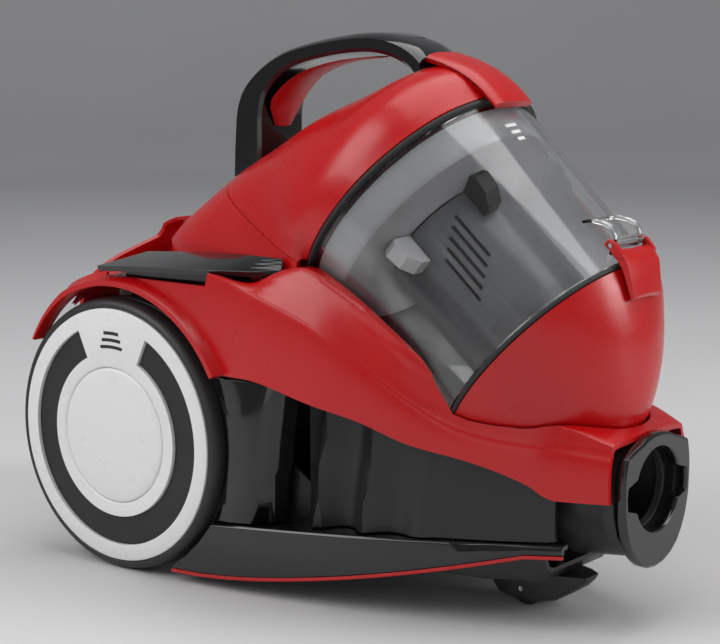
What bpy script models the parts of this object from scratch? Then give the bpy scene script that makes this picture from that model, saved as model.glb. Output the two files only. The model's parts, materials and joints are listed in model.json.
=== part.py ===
"""Canister vacuum cleaner with a slanted clear dust bin, two large rear wheels and a front caster.

Lengths are millimetres until they reach a mesh. Inside this file x runs forward from the rear axle,
y runs to the machine's left and z is measured from the axle height. A root empty then stands the
model on the floor with its bounding box centred on the origin.
"""
import math

import bmesh
import bpy
from mathutils import Matrix, Vector

MM = 0.001
GAP = 0.3

# Wheels and track
WHEEL_RADIUS = 84.0
TRACK_HALF = 105.5
TYRE_WIDTH = 22.5
DISC_RADIUS = 78.2
RING_OUTER = 68.2
RING_INNER = 50.6
CAP_RADIUS = 41.6
BRIDGE_HALF_ANGLE = 25.0
AXLE_RADIUS = 4.0
ARCH_CLEARANCE = 7.5
FENDER_THICKNESS = 4.0

# Dust bin
BIN_TILT = 41.24
BIN_RADIUS = 81.4
BIN_TAPER = 5.9
BIN_LENGTH = 119.8
BIN_WALL = 2.5
BIN_MOUTH_X = 157.7
BIN_MOUTH_Z = 143.0
CUP_DEPTH = 62.0
SHROUD_RADIUS = 41.5
CRADLE_CLEARANCE = 1.4
RING_DEPTH = 3.0

# Hose port
PORT_BORE = 47.0
PORT_NOTCH = 8.5
PORT_DEPTH = 14.0
COLLAR_LENGTH = 47.0
PORT_FACE_X = 318.0
PORT_Z = -4.0

# Body
WALL = 3.0
FENDER_OVERHANG = 8.5
TYRE_CLEARANCE = 3.5
BODY_HALF = TRACK_HALF - FENDER_OVERHANG
TUB_HALF = TRACK_HALF - TYRE_WIDTH - TYRE_CLEARANCE
TUB_FLOOR = -60.0
DECK_Z = 104.0
SEAM_ANGLE = 158.5
HOOD_PIVOT_ANGLE = 164.8

# Handle, latch and pedals
HANDLE_HALF = 21.0
LATCH_HALF = 18.5
LEVER_HALF = 17.0
LEVER_PIVOT_DEPTH = 8.4
LEVER_PIVOT_RISE = 5.0
PIN_RADIUS = 1.3
LATCH_HINGE_X = 171.5
LATCH_HINGE_Z = 226.0
PEDAL_HINGE_X = 100.0
PEDAL_HINGE_Z = 98.0

# Caster
CASTER_PIVOT_X = 256.0
CASTER_TRAIL = 18.0
ROLLER_RADIUS = 11.0
ROLLER_HALF = 9.0

RIGHT = -1
LEFT = 1
SIDES = (("right", RIGHT), ("left", LEFT))

ARCH_RADIUS = WHEEL_RADIUS + ARCH_CLEARANCE
FENDER_RADIUS = ARCH_RADIUS + FENDER_THICKNESS
SHIFT_X = (WHEEL_RADIUS - PORT_FACE_X) / 2
TILT = math.radians(BIN_TILT)
AXIS = Vector((math.cos(TILT), 0, -math.sin(TILT)))
UP = Vector((math.sin(TILT), 0, math.cos(TILT)))
MOUTH = Vector((BIN_MOUTH_X, 0, BIN_MOUTH_Z))
BIN_FOOT = BIN_RADIUS - BIN_TAPER
CUP_START = BIN_LENGTH + 3.1
LID_RADIUS = BIN_RADIUS + 3.0


# ---------------------------------------------------------------- helpers

def clear_scene():
    for obj in list(bpy.data.objects):
        bpy.data.objects.remove(obj, do_unlink=True)


def material(name, colour, roughness, metallic=0.0, alpha=1.0):
    found = bpy.data.materials.get(name)
    if found:
        return found
    made = bpy.data.materials.new(name)
    made.use_nodes = True
    shader = made.node_tree.nodes["Principled BSDF"]
    shader.inputs["Base Color"].default_value = (*colour, 1)
    shader.inputs["Roughness"].default_value = roughness
    shader.inputs["Metallic"].default_value = metallic
    shader.inputs["Alpha"].default_value = alpha
    return made


def red_plastic():
    return material("red_satin_plastic", (0.62, 0.012, 0.014), 0.32)


def black_plastic():
    return material("black_plastic", (0.012, 0.012, 0.013), 0.42)


def gloss_black():
    return material("gloss_black_plastic", (0.008, 0.008, 0.009), 0.12)


def white_plastic():
    return material("white_plastic", (0.72, 0.72, 0.72), 0.35)


def clear_plastic():
    return material("clear_plastic", (0.9, 0.92, 0.93), 0.05, alpha=0.25)


def smoke_plastic():
    return material("smoke_plastic", (0.25, 0.26, 0.27), 0.25, alpha=0.6)


def rubber():
    return material("black_rubber", (0.02, 0.02, 0.02), 0.75)


def steel():
    return material("steel", (0.55, 0.55, 0.56), 0.28, metallic=1.0)


def filter_paper():
    return material("filter_paper", (0.8, 0.78, 0.7), 0.9)


def board_green():
    return material("board_green", (0.02, 0.16, 0.06), 0.5)


def build(name, points, faces, look, smooth_angle=35.0):
    """One closed mesh in axle coordinates, its faces turned outward."""
    mesh = bpy.data.meshes.new(name)
    mesh.from_pydata([tuple(Vector(p) * MM) for p in points], [], faces)
    work = bmesh.new()
    work.from_mesh(mesh)
    bmesh.ops.remove_doubles(work, verts=work.verts, dist=1e-6)
    bmesh.ops.recalc_face_normals(work, faces=work.faces)
    if work.calc_volume(signed=True) < 0:
        bmesh.ops.reverse_faces(work, faces=work.faces)
    work.to_mesh(mesh)
    work.free()
    obj = bpy.data.objects.new(name, mesh)
    bpy.context.scene.collection.objects.link(obj)
    mesh.materials.append(look)
    smooth(obj, smooth_angle)
    return obj


def smooth(obj, angle=35.0):
    obj.data.shade_smooth()
    obj.data.set_sharp_from_angle(angle=math.radians(angle))


def loft(name, sections, look, angle=35.0):
    """A solid through closed loops that all have the same number of points."""
    count = len(sections[0])
    points = [p for section in sections for p in section]
    faces = []
    for row in range(len(sections) - 1):
        for i in range(count):
            j = (i + 1) % count
            base = row * count
            faces.append((base + i, base + j, base + count + j, base + count + i))
    faces.append(tuple(range(count)))
    last = (len(sections) - 1) * count
    faces.append(tuple(last + i for i in reversed(range(count))))
    return build(name, points, faces, look, angle)


def band(name, outer, inner, look, angle=35.0):
    """A shell between two open surfaces given as matching rows of points."""
    rows = len(outer)
    count = len(outer[0])
    points = [p for row in outer for p in row] + [p for row in inner for p in row]
    shift = rows * count
    faces = []
    for r in range(rows - 1):
        for i in range(count - 1):
            a = r * count + i
            faces.append((a, a + 1, a + count + 1, a + count))
            faces.append((shift + a, shift + a + count, shift + a + count + 1, shift + a + 1))
    for r in range(rows - 1):
        for i in (0, count - 1):
            a = r * count + i
            faces.append((a, a + count, shift + a + count, shift + a))
    for i in range(count - 1):
        for r in (0, rows - 1):
            a = r * count + i
            faces.append((a, a + 1, shift + a + 1, shift + a))
    return build(name, points, faces, look, angle)


def lathe(name, profile, frame, look, steps=40, ring=True, angle=35.0):
    """Turns (radius, height) points round the local Z of frame. A ring's profile closes on itself."""
    points = []
    rows = []
    for radius, height in profile:
        if radius < 1e-6:
            rows.append([len(points)] * steps)
            points.append(frame @ Vector((0, 0, height)))
            continue
        row = []
        for k in range(steps):
            turn = 2 * math.pi * k / steps
            row.append(len(points))
            points.append(frame @ Vector((radius * math.cos(turn), radius * math.sin(turn), height)))
        rows.append(row)
    faces = []
    spans = len(rows) if ring else len(rows) - 1
    for r in range(spans):
        low = rows[r]
        high = rows[(r + 1) % len(rows)]
        for k in range(steps):
            m = (k + 1) % steps
            corners = []
            for corner in (low[k], low[m], high[m], high[k]):
                if corner not in corners:
                    corners.append(corner)
            faces.append(tuple(corners))
    return build(name, points, faces, look, angle)


def box(name, low, high, look):
    points = [(x, y, z) for x in (low[0], high[0]) for y in (low[1], high[1]) for z in (low[2], high[2])]
    faces = [(0, 1, 3, 2), (4, 6, 7, 5), (0, 4, 5, 1), (2, 3, 7, 6), (0, 2, 6, 4), (1, 5, 7, 3)]
    return build(name, points, faces, look)


def prism(name, outline, low, high, look, angle=35.0):
    """Straight walls over an outline of (x, y) points, between two heights."""
    return loft(name, [[(x, y, z) for x, y in outline] for z in (low, high)], look, angle)


def bake(obj):
    graph = bpy.context.evaluated_depsgraph_get()
    mesh = bpy.data.meshes.new_from_object(obj.evaluated_get(graph))
    obj.modifiers.clear()
    obj.data = mesh
    smooth(obj)


def combine(obj, other, operation="DIFFERENCE", solver="EXACT"):
    """Applies a Boolean and drops its second operand."""
    change = obj.modifiers.new(operation.lower(), "BOOLEAN")
    change.operation = operation
    change.solver = solver
    change.object = other
    bpy.context.view_layer.update()
    bake(obj)
    bpy.data.objects.remove(other, do_unlink=True)
    tidy(obj)
    return obj


def tidy(obj):
    """Welds the slivers that a cut leaves behind."""
    work = bmesh.new()
    work.from_mesh(obj.data)
    bmesh.ops.remove_doubles(work, verts=work.verts, dist=0.000003)
    bmesh.ops.dissolve_degenerate(work, edges=work.edges, dist=0.000003)
    work.to_mesh(obj.data)
    work.free()
    smooth(obj)


def spline(points, count):
    """Evenly shared points on a smooth curve through a few given ones."""
    path = [Vector(p) for p in points]
    path = [path[0] * 2 - path[1], *path, path[-1] * 2 - path[-2]]
    spans = len(path) - 3
    found = []
    for k in range(count):
        place = spans * k / (count - 1)
        i = min(int(place), spans - 1)
        t = place - i
        a, b, c, d = path[i:i + 4]
        found.append(
            0.5 * (2 * b + (c - a) * t + (2 * a - 5 * b + 4 * c - d) * t * t + (3 * b - a - 3 * c + d) * t ** 3)
        )
    return found


def curve(points, x):
    """The height at x of a smooth monotone curve through (x, height) points."""
    if x <= points[0][0]:
        return points[0][1]
    if x >= points[-1][0]:
        return points[-1][1]
    i = max(k for k in range(len(points) - 1) if points[k][0] <= x)
    slopes = [(q[1] - p[1]) / (q[0] - p[0]) for p, q in zip(points, points[1:])]

    def tangent(k):
        if k == 0:
            return slopes[0]
        if k == len(slopes):
            return slopes[-1]
        before, after = slopes[k - 1], slopes[k]
        return 0.0 if before * after <= 0 else 2 * before * after / (before + after)

    (x0, y0), (x1, y1) = points[i], points[i + 1]
    span = x1 - x0
    t = (x - x0) / span
    return (
        y0 * (1 + 2 * t) * (1 - t) ** 2
        + y1 * t * t * (3 - 2 * t)
        + span * (tangent(i) * t * (1 - t) ** 2 - tangent(i + 1) * t * t * (1 - t))
    )


def bin_frame(depth=0.0):
    """Local Z runs down the bin, local X points away from the floor."""
    place = MOUTH + AXIS * depth
    side = Vector((0, -1, 0))
    return Matrix((
        (UP.x, side.x, AXIS.x, place.x),
        (UP.y, side.y, AXIS.y, place.y),
        (UP.z, side.z, AXIS.z, place.z),
        (0, 0, 0, 1),
    ))


def wheel_frame(side, x=0.0, z=0.0):
    """Local Z runs outward from the machine's middle along y."""
    return Matrix((
        (1, 0, 0, x),
        (0, 0, side, 0),
        (0, 1, 0, z),
        (0, 0, 0, 1),
    ))


def upright(x, y, z):
    return Matrix.Translation((x, y, z))


def along_x(x, y, z):
    return Matrix(((0, 0, 1, x), (1, 0, 0, y), (0, 1, 0, z), (0, 0, 0, 1)))


# ---------------------------------------------------------------- wheels

def wheel_outer():
    """Distance of the tyre's outer face from the middle plane."""
    return TRACK_HALF


def tyre(name, side):
    far = wheel_outer()
    near = far - TYRE_WIDTH
    seat = DISC_RADIUS + GAP
    hub = WHEEL_RADIUS - 13.5
    profile = [
        (hub, near), (WHEEL_RADIUS - 2, near), (WHEEL_RADIUS, near + 2.5), (WHEEL_RADIUS, far - 6),
        (WHEEL_RADIUS - 1.2, far - 1.8), (WHEEL_RADIUS - 3.6, far), (seat, far), (seat, far - 3.2),
        (hub, far - 3.2),
    ]
    return lathe(name, profile, wheel_frame(side), rubber(), 40)


def wheel_disc(name, side):
    """White face with a horseshoe channel and a shallow seat for the centre cap."""
    face = wheel_outer() + 0.6
    back = wheel_outer() - 2.9
    steps = 36
    floor = face - 2.4 - 1.6 - GAP
    obj = lathe(name, [
        (CAP_RADIUS + GAP, back - 3.0), (WHEEL_RADIUS - 14, back - 3.0), (WHEEL_RADIUS - 14, back),
        (DISC_RADIUS, back),
        (DISC_RADIUS, face - 0.8), (DISC_RADIUS - 0.8, face), (CAP_RADIUS + 1.0, face),
        (CAP_RADIUS + GAP, face - 0.5),
    ], wheel_frame(side), white_plastic(), steps)
    channel = sector("channel", side, RING_INNER, RING_OUTER, floor, face + 3, 0.0)
    combine(obj, channel)
    return obj


def sector(name, side, inner, outer, low, high, inset):
    """A horseshoe that leaves the bridge at the top of the wheel open."""
    steps = 24
    start = math.radians(90 + BRIDGE_HALF_ANGLE)
    sweep = 2 * math.pi - 2 * math.radians(BRIDGE_HALF_ANGLE)
    start += inset / inner
    sweep -= 2 * inset / inner
    frame = wheel_frame(side)
    rings = []
    for k in range(steps + 1):
        turn = start + sweep * k / steps
        rings.append([
            frame @ Vector((r * math.cos(turn), r * math.sin(turn), h))
            for r, h in ((inner + inset, low), (outer - inset, low), (outer - inset, high),
                (inner + inset, high))
        ])
    return loft(name, rings, white_plastic())


def wheel_ring(name, side):
    face = wheel_outer() + 0.6
    obj = sector(name, side, RING_INNER, RING_OUTER, face - 4.0, face - 2.4, GAP)
    obj.data.materials.clear()
    obj.data.materials.append(material("ring_charcoal", (0.016, 0.016, 0.016), 0.55))
    return obj


def wheel_cap(name, side):
    face = wheel_outer() + 0.6
    profile = [
        (0, face - 4.2), (CAP_RADIUS, face - 4.2), (CAP_RADIUS, face - 0.4), (CAP_RADIUS - 2.5, face + 0.3),
        (CAP_RADIUS * 0.6, face + 1.2), (0, face + 1.6),
    ]
    look = material("cap_white", (0.8, 0.8, 0.8), 0.3)
    return lathe(name, profile, wheel_frame(side), look, 32, ring=False, angle=50)


def wheel_hub(name, side):
    """Black carrier with the bearing sleeve, behind the white face."""
    back = wheel_outer() - 2.9 - 3.0 - GAP
    near = wheel_outer() - TYRE_WIDTH + 1
    rim = WHEEL_RADIUS - 13.5 - GAP
    bore = AXLE_RADIUS + GAP
    profile = [
        (bore, near), (bore + 6, near), (bore + 6, back - 4), (rim - 4, back - 4), (rim - 4, near),
        (rim, near),
        (rim, back), (bore, back),
    ]
    return lathe(name, profile, wheel_frame(side), black_plastic(), 24)


def wheel_axle(name, side):
    head = wheel_outer() - 2.9 - 3.0
    profile = [(0, TUB_HALF - 12), (AXLE_RADIUS, TUB_HALF - 12), (AXLE_RADIUS, head + 0.5), (0, head + 0.5)]
    return lathe(name, profile, wheel_frame(side), steel(), 16, ring=False)


def make_wheels():
    pieces = {}
    for word, side in SIDES:
        pieces[word] = [
            tyre(f"tyre_{word}", side), wheel_disc(f"wheel_disc_{word}", side),
            wheel_ring(f"wheel_ring_{word}", side),
            wheel_cap(f"wheel_cap_{word}", side), wheel_hub(f"wheel_hub_{word}", side),
        ]
    return pieces


# ---------------------------------------------------------------- container envelope

def bin_radius(depth):
    return BIN_RADIUS - BIN_TAPER * max(depth, 0.0) / BIN_LENGTH


def cup_profile(offset=0.0):
    """(radius, depth) down the outside of the flap, from its rim to its nose."""
    rim = BIN_FOOT + 1.3
    shape = [(rim - 1.2, 0), (rim - 5.5, 8), (rim - 13, 18), (rim - 23, 30), (rim - 34, 41), (rim - 46, 51)]
    shape += [(rim - 58, 58.5), (rim - 67, 61.4)]
    scale = CUP_DEPTH / 62.0
    return [(r + offset, CUP_START + d * scale + offset * (d / 62.0)) for r, d in shape]


def container_cutter():
    """Bin, gasket and flap with the running clearance."""
    grow = CRADLE_CLEARANCE
    cup = cup_profile(grow)
    profile = [(0, -RING_DEPTH - grow), (LID_RADIUS + grow, -RING_DEPTH - grow), (LID_RADIUS + grow, grow)]
    profile += [(bin_radius(0) + grow, grow + 0.2), (bin_radius(BIN_LENGTH) + grow, BIN_LENGTH - 1)]
    profile += cup + [(0, cup[-1][1] + 0.4)]
    return lathe("container_cutter", profile, bin_frame(), black_plastic(), 40, ring=False)


def lift_cutter():
    """The space above the gasket's rear edge, which the container sweeps as it lifts straight up."""
    radius = LID_RADIUS + CRADLE_CLEARANCE + 0.6
    frame = bin_frame(-RING_DEPTH / 2)
    low = []
    for k in range(17):
        turn = math.radians(180 - 72 + 144 * k / 16)
        low.append(frame @ Vector((radius * math.cos(turn), radius * math.sin(turn), 0)))
    high = [p + Vector((0, 0, 70)) for p in low]
    return loft("lift_cutter", [low, high], black_plastic())


# ---------------------------------------------------------------- lid and tower

LID_CENTRE = MOUTH - AXIS * (RING_DEPTH + GAP)
PIVOT_SLOPE = math.tan(math.radians(180 - HOOD_PIVOT_ANGLE))
DECK_ROOF_Z = 147.0
RIM_SLOPE = UP.z / UP.x
PIVOT_X = (DECK_ROOF_Z - LID_CENTRE.z + RIM_SLOPE * LID_CENTRE.x) / (RIM_SLOPE + PIVOT_SLOPE)
PIVOT_Z = DECK_ROOF_Z - PIVOT_SLOPE * PIVOT_X
RIM_ANGLE = 90 - BIN_TILT
HOOD_STEPS = 10
ARCH_STEPS = 20
ROOF = [(171, 224.5), (135, 210.5), (97, 196), (61, 177), (29, 160), (0, 141), (-25, 123), (-44, 104),
    (-46, 96)]


def roof_distance(angle):
    """How far the roof line lies from the pivot line in this direction."""
    turn = math.radians(angle)
    ray = Vector((math.cos(turn), math.sin(turn)))
    rim = Vector((LID_CENTRE.x + UP.x * LID_RADIUS, LID_CENTRE.z + UP.z * LID_RADIUS))
    knee = Vector((194, 222.5))
    line = [rim + (rim - knee) * 0.3] + spline([tuple(rim), tuple(knee), *ROOF], 90)
    pivot = Vector((PIVOT_X, PIVOT_Z))
    best = 0.0
    for a, b in zip(line, line[1:]):
        edge = b - a
        cross = ray.x * edge.y - ray.y * edge.x
        if abs(cross) < 1e-9:
            continue
        start = a - pivot
        along = (start.x * edge.y - start.y * edge.x) / cross
        share = (start.x * ray.y - start.y * ray.x) / cross
        if -1e-6 <= share <= 1 + 1e-6:
            best = max(best, along)
    return best


def hood_arch(angle, offset, count):
    """One arch of the hood in the half plane that leaves the pivot line at this angle."""
    reach = (LID_CENTRE - Vector((PIVOT_X, 0, PIVOT_Z))).length
    widest = math.acos(max(-1.0, min(1.0, (2.5 - reach) / LID_RADIUS)))
    full = roof_distance(180)
    half = LID_RADIUS - 6.5
    rear = spline([(half, 2.5), (half - 2.5, 24), (half - 11, 60), (half - 19, 90), (half - 30, full - 40),
                   (half - 43, full - 19), (half - 60, full - 5), (0, full)], count // 2 + 1)
    share = max(0.0, min(1.0, (angle - RIM_ANGLE) / (180 - RIM_ANGLE)))
    share = share * share * (3 - 2 * share)
    crest = roof_distance(angle)
    arch = []
    for k in range(count + 1):
        t = 2 * k / count - 1
        turn = widest * t
        rim_y = LID_RADIUS * math.sin(turn)
        rim_r = reach + LID_RADIUS * math.cos(turn)
        place = rear[min(k, count - k)]
        rear_y = math.copysign(place.x, t) if k * 2 != count else 0.0
        y = rim_y * (1 - share) + rear_y * share
        r = rim_r * (1 - share) + place.y * share
        top = (reach + LID_RADIUS) * (1 - share) + full * share
        r = 2.5 + (r - 2.5) * (crest - 2.5) / (top - 2.5)
        arch.append(Vector((y, r)))
    if offset:
        arch = offset_line(arch, offset)
    turn = math.radians(angle)
    return [(PIVOT_X + p.y * math.cos(turn), p.x, PIVOT_Z + p.y * math.sin(turn)) for p in arch]


def offset_line(line, distance):
    """Moves each point of an open line along its normal, to the left of its run."""
    moved = []
    for k, p in enumerate(line):
        before = line[max(k - 1, 0)]
        after = line[min(k + 1, len(line) - 1)]
        run = (after - before).normalized()
        moved.append(p + Vector((-run.y, run.x)) * distance)
    return moved


def hood_angle(step):
    """Evenly spaced half planes from the rim to the seam."""
    return RIM_ANGLE + (SEAM_ANGLE - RIM_ANGLE) * step / HOOD_STEPS


def make_lid():
    """Removable front part of the hood, from the gasket back to the seam."""
    outer = [hood_arch(hood_angle(k), 0.0, ARCH_STEPS) for k in range(HOOD_STEPS + 1)]
    inner = [hood_arch(hood_angle(k), -2.6, ARCH_STEPS) for k in range(HOOD_STEPS + 1)]
    return band("lid", outer, inner, red_plastic(), 40)


def make_tower():
    """Fixed rear part of the hood, standing on the deck."""
    thickness = 2.8
    angles = [SEAM_ANGLE + 0.25 + (179.6 - SEAM_ANGLE) * k / 5 for k in range(6)]
    outer = [hood_arch(a, 0.0, ARCH_STEPS) for a in angles]
    inner = [hood_arch(a, -thickness, ARCH_STEPS) for a in angles]
    foot = DECK_Z + GAP
    outer.append([(x, y, foot) for x, y, _ in outer[-1]])
    inner.append([(x, y, foot) for x, y, _ in inner[-1]])
    obj = band("tower", outer, inner, red_plastic(), 40)
    combine(obj, lift_cutter())
    return obj


def hood_cutter(grow):
    """Everything under the lid's outer skin, a little proud of it."""
    outer = [hood_arch(hood_angle(k), grow, ARCH_STEPS) for k in range(-1, HOOD_STEPS + 1)]
    inner = [[(PIVOT_X + (x - PIVOT_X) * 0.05, y * 0.9, PIVOT_Z + (z - PIVOT_Z) * 0.05) for x, y, z in row]
             for row in outer]
    return band("hood_cutter", outer, inner, red_plastic())


# ---------------------------------------------------------------- body

PLAN = [(-58, 0.0), (-40, 0.0), (60, 1.0), (100, 1.0), (150, -2.5), (182, -9.0), (210, -17.5), (234, -27),
    (254, -36)]
PLAN_FRONT = [(280, 10.0), (312, 1.5)]
LOWER_EDGE = [(-58, 45), (99, 45.8), (148, 36), (176, 30), (207, 19), (234, 13), (249, 8.5), (269, 0),
    (280, -7), (314, -6)]
CREASE = [(-58, 66), (-40, 84), (-12, 96), (20, 101), (63, 107), (110, 95.5), (153, 80), (177, 64.5),
    (213, 41),
          (236, 30), (260, 25), (285, 22.5), (314, 20)]
SHOULDER = [(-58, 84), (-40, 95), (-12, 99), (60, 100), (96, 101), (116, 109), (132, 112), (160, 101),
    (199, 77), (239, 50), (260, 38),
            (290, 33), (314, 25)]
SHOULDER_HALF = [(-58, 62), (0, 66), (100, 80), (140, 78), (199, 76), (239, 64), (270, 50), (314, 34)]


SHELL_NORMALS = [(1, 0), (1, 0), (0.95, 0.3), (0.8, 0.6), (0.6, 0.8), (0.5, 0.87), (0.3, 0.95), (0, 1),
    (0, 1)]


def side_half(x):
    """Half width of the red body at this station."""
    points = [(px, BODY_HALF + dy) for px, dy in PLAN]
    port_half = PORT_BORE / 2 + 16.0
    points += [(px, port_half + dy) for px, dy in PLAN_FRONT]
    return curve(points, x)


def shell_section(x, inset):
    """Half section, from the lower edge up the side, over the shoulder and in to the middle."""
    wall = side_half(x)
    low = curve(LOWER_EDGE, x)
    crease = curve(CREASE, x)
    shoulder = curve(SHOULDER, x)
    inner = min(curve(SHOULDER_HALF, x), wall - 6)
    ease = min(4.0, (crease - low) * 0.2)
    outer = [
        Vector((wall, low)), Vector((wall + 0.6, low + (crease - low) * 0.5)),
        Vector((wall - 0.2, crease - ease)),
        Vector((wall - 1.6, crease - ease * 0.2)),
        Vector((wall - 1.6 + (inner - wall + 1.6) * 0.18, crease + (shoulder - crease) * 0.22)),
        Vector(((wall + inner) / 2, crease + (shoulder - crease) * 0.58)), Vector((inner, shoulder)),
        Vector((inner * 0.5, min(shoulder, 101.0) + 1.0)),
        Vector((0, min(shoulder, 101.0) + 1.5)),
    ]
    if inset:
        outer = [p - Vector(n) * inset for p, n in zip(outer, SHELL_NORMALS)]
        outer[0].y = low
        outer[-1].x = 0.0
    return outer


def full_section(x, inset):
    half = shell_section(x, inset)
    right = [(x, -p.x, p.y) for p in half]
    left = [(x, p.x, p.y) for p in reversed(half[:-1])]
    return right + left


def fender(side):
    """Flared lip round the wheel arch."""
    rows_out = []
    rows_in = []
    steps = 16
    frame = wheel_frame(side)
    for k in range(steps + 1):
        degrees = 29 + (144 - 29) * k / steps
        turn = math.radians(degrees)
        fade = max(0.0, (degrees - 118) / 26)
        inner = ARCH_RADIUS - 4.0 * fade
        outer = inner + FENDER_THICKNESS - 1.8 * fade
        flare = 4.5 * (1 - fade)
        outside = [(outer + flare, TRACK_HALF - 11), (outer + flare * 0.4, TRACK_HALF - 7),
            (outer, TRACK_HALF - 1),
                   (outer - 0.6, TRACK_HALF)]
        inside = [(inner, TRACK_HALF - 11), (inner, TRACK_HALF - 7), (inner, TRACK_HALF - 1),
            (inner + 0.4, TRACK_HALF)]
        rows_out.append([frame @ Vector((r * math.cos(turn), r * math.sin(turn), h)) for r, h in outside])
        rows_in.append([frame @ Vector((r * math.cos(turn), r * math.sin(turn), h)) for r, h in inside])
    return band(f"fender_{side}", rows_out, rows_in, red_plastic())


def arch_cutter(side):
    radius = ARCH_RADIUS + FENDER_THICKNESS / 2
    profile = [(0, TUB_HALF + 2.5), (radius, TUB_HALF + 2.5), (radius, TRACK_HALF + 8), (0, TRACK_HALF + 8)]
    return lathe("arch_cutter", profile, wheel_frame(side), red_plastic(), 40, ring=False)


def pedal_edges(x):
    """Outer and inner edge of the foot plate at this station."""
    grow = BODY_HALF - 97.0
    outer = curve([(-12, 105.0), (61, 101.0), (90, 91.0), (116, 82.4)], x) + grow
    inner = curve([(-12, 61.5), (10, 63.5), (40, 66.5), (65, 70.0), (86, 75.0), (104, 78.6), (116, 80.2)],
        x) + grow
    return outer, inner


def pedal_outline(side, shrink, tower_gap):
    """Plan of the foot plate, drawn in by shrink at its free edges."""
    stations = [-12 + shrink, 20, 61, 90 - shrink * 0.8, 116 - shrink * 2.2]
    outer = [(x, pedal_edges(x)[0] - shrink) for x in stations]
    inner = [(x, min(pedal_edges(x)[1] + tower_gap,
        pedal_edges(x)[0] - shrink - 0.5)) for x in reversed(stations)]
    return [(x, side * y) for x, y in outer + inner]


def tower_cutter():
    """Room for the foot of the tower."""
    foot = [(x, y) for x, y, _ in hood_arch(179.6, 0.6, ARCH_STEPS)]
    foot = [(foot[0][0] + 4, foot[0][1]), *foot, (foot[-1][0] + 4, foot[-1][1])]
    return prism("tower_cutter", foot, DECK_Z - 0.2, DECK_Z + 30, red_plastic())


def make_shell():
    """Red upper body with wheel arches, pedal pockets and the open nest for the dust container."""
    stations = [-58, -50, -40, -27, -12, 12, 38, 63, 82, 98, 110, 122, 138, 155, 172, 190, 208, 225, 241,
        256,
                270, 284, 298, PORT_FACE_X - 7]
    outer = [full_section(x, 0.0) for x in stations]
    inner = [full_section(x, WALL) for x in stations]
    obj = band("upper_shell", outer, inner, red_plastic())
    for side in (RIGHT, LEFT):
        combine(obj, arch_cutter(side))
        combine(obj, fender(side), "UNION")
    combine(obj, container_cutter())
    combine(obj, lift_cutter())
    for side in (RIGHT, LEFT):
        plate = prism("plate_cutter", pedal_outline(side, -0.6, -0.6), 97.2, 125, red_plastic())
        combine(obj, plate, solver="MANIFOLD")
        skirt = prism("skirt_cutter", pedal_outline(side, 11.0, 0.4), 84, 126, red_plastic())
        combine(obj, skirt, solver="MANIFOLD")
    combine(obj, tower_cutter(), solver="MANIFOLD")
    return obj


def tub_section(x, inset, half, floor, top):
    corner = 8.0
    line = [Vector((-half, top)), Vector((-half, floor + corner)), Vector((-half + corner * 0.3,
        floor + corner * 0.3)),
            Vector((-half + corner, floor)), Vector((0, floor)), Vector((half - corner, floor)),
            Vector((half - corner * 0.3, floor + corner * 0.3)), Vector((half, floor + corner)),
            Vector((half, top))]
    if inset:
        line = offset_line(line, inset)
        line[0].y = top
        line[-1].y = top
    return [(x, p.x, p.y) for p in line]


def make_tub():
    """Black lower chassis."""
    rows = [(-57, -6, -46, 40), (-46, -1, -54, 50), (-30, 0, -58, 68), (-8, 0, -60, 84), (20, 0, -60, 84),
        (60, 0, -60, 84),
            (82, 0, -60, 70), (98, -4, -60, 8), (122, -15, -60, -18), (160, -17, -60, -18),
            (200, -19.5, -60, -20),
            (235, -26, -60, -22), (264, -39, -60, -24), (269, -43, -54, -26)]
    outer = [tub_section(x, 0, TUB_HALF + dy, f, t) for x, dy, f, t in rows]
    inner = [tub_section(x, 2.5, TUB_HALF + dy, f, t) for x, dy, f, t in rows]
    obj = band("chassis_tub", outer, inner, black_plastic())
    for side in (RIGHT, LEFT):
        inside, outside = TUB_HALF - 19.5, TUB_HALF + 10.5
        fit = AXLE_RADIUS + GAP
        hole = lathe("axle_hole", [(0, inside), (fit, inside), (fit, outside), (0, outside)],
                     wheel_frame(side), black_plastic(), 16, ring=False)
        combine(obj, hole)
    pivot = lathe("pivot_hole", [(0, TUB_FLOOR - 5), (5.4, TUB_FLOOR - 5), (5.4, TUB_FLOOR + 8),
        (0, TUB_FLOOR + 8)],
                  upright(CASTER_PIVOT_X, 0, 0), black_plastic(), 16, ring=False)
    combine(obj, pivot)
    return obj


SLED_PLAN = [(45, 103.0), (98, 97.0), (132, 91.0), (163, 84.5), (200, 74.5), (230, 64.5), (256, 54.5),
    (284, 44.0)]


def sled_lower(x):
    share = max(0.0, (x - 60) / 225)
    return -76.0 + 42 * share ** 1.5


def sled_upper(x):
    return curve([(45, -46), (110, -42), (200, -37), (284, -33)], x)


def make_sled(word, side):
    """Gloss running board with a skirt along its outer edge."""
    sections = []
    for k in range(13):
        x = 45 + (284 - 45) * k / 12
        out = curve(SLED_PLAN, x) + BODY_HALF - 97.0
        low = min(sled_lower(x), sled_upper(x) - 5.5)
        top = sled_upper(x)
        inner = curve([(45, 83), (98, 81), (122, 66.5), (200, 61.5), (235, 55), (262, 47), (284, 37.5)], x)
        inner = min(inner + TUB_HALF - 79.5, out - 5)
        loop = [(out, low), (out + 0.8, (low + top) / 2), (out, top - 1.2), (out - 1.2, top),
            (inner, top + 0.4),
                (inner, top - 3), (out - 3, top - 3.2), (out - 3, low)]
        sections.append([(x, side * y, z) for y, z in loop])
    obj = loft(f"sled_{word}", sections, gloss_black())
    combine(obj, tyre_cutter(side))
    return obj


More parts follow.
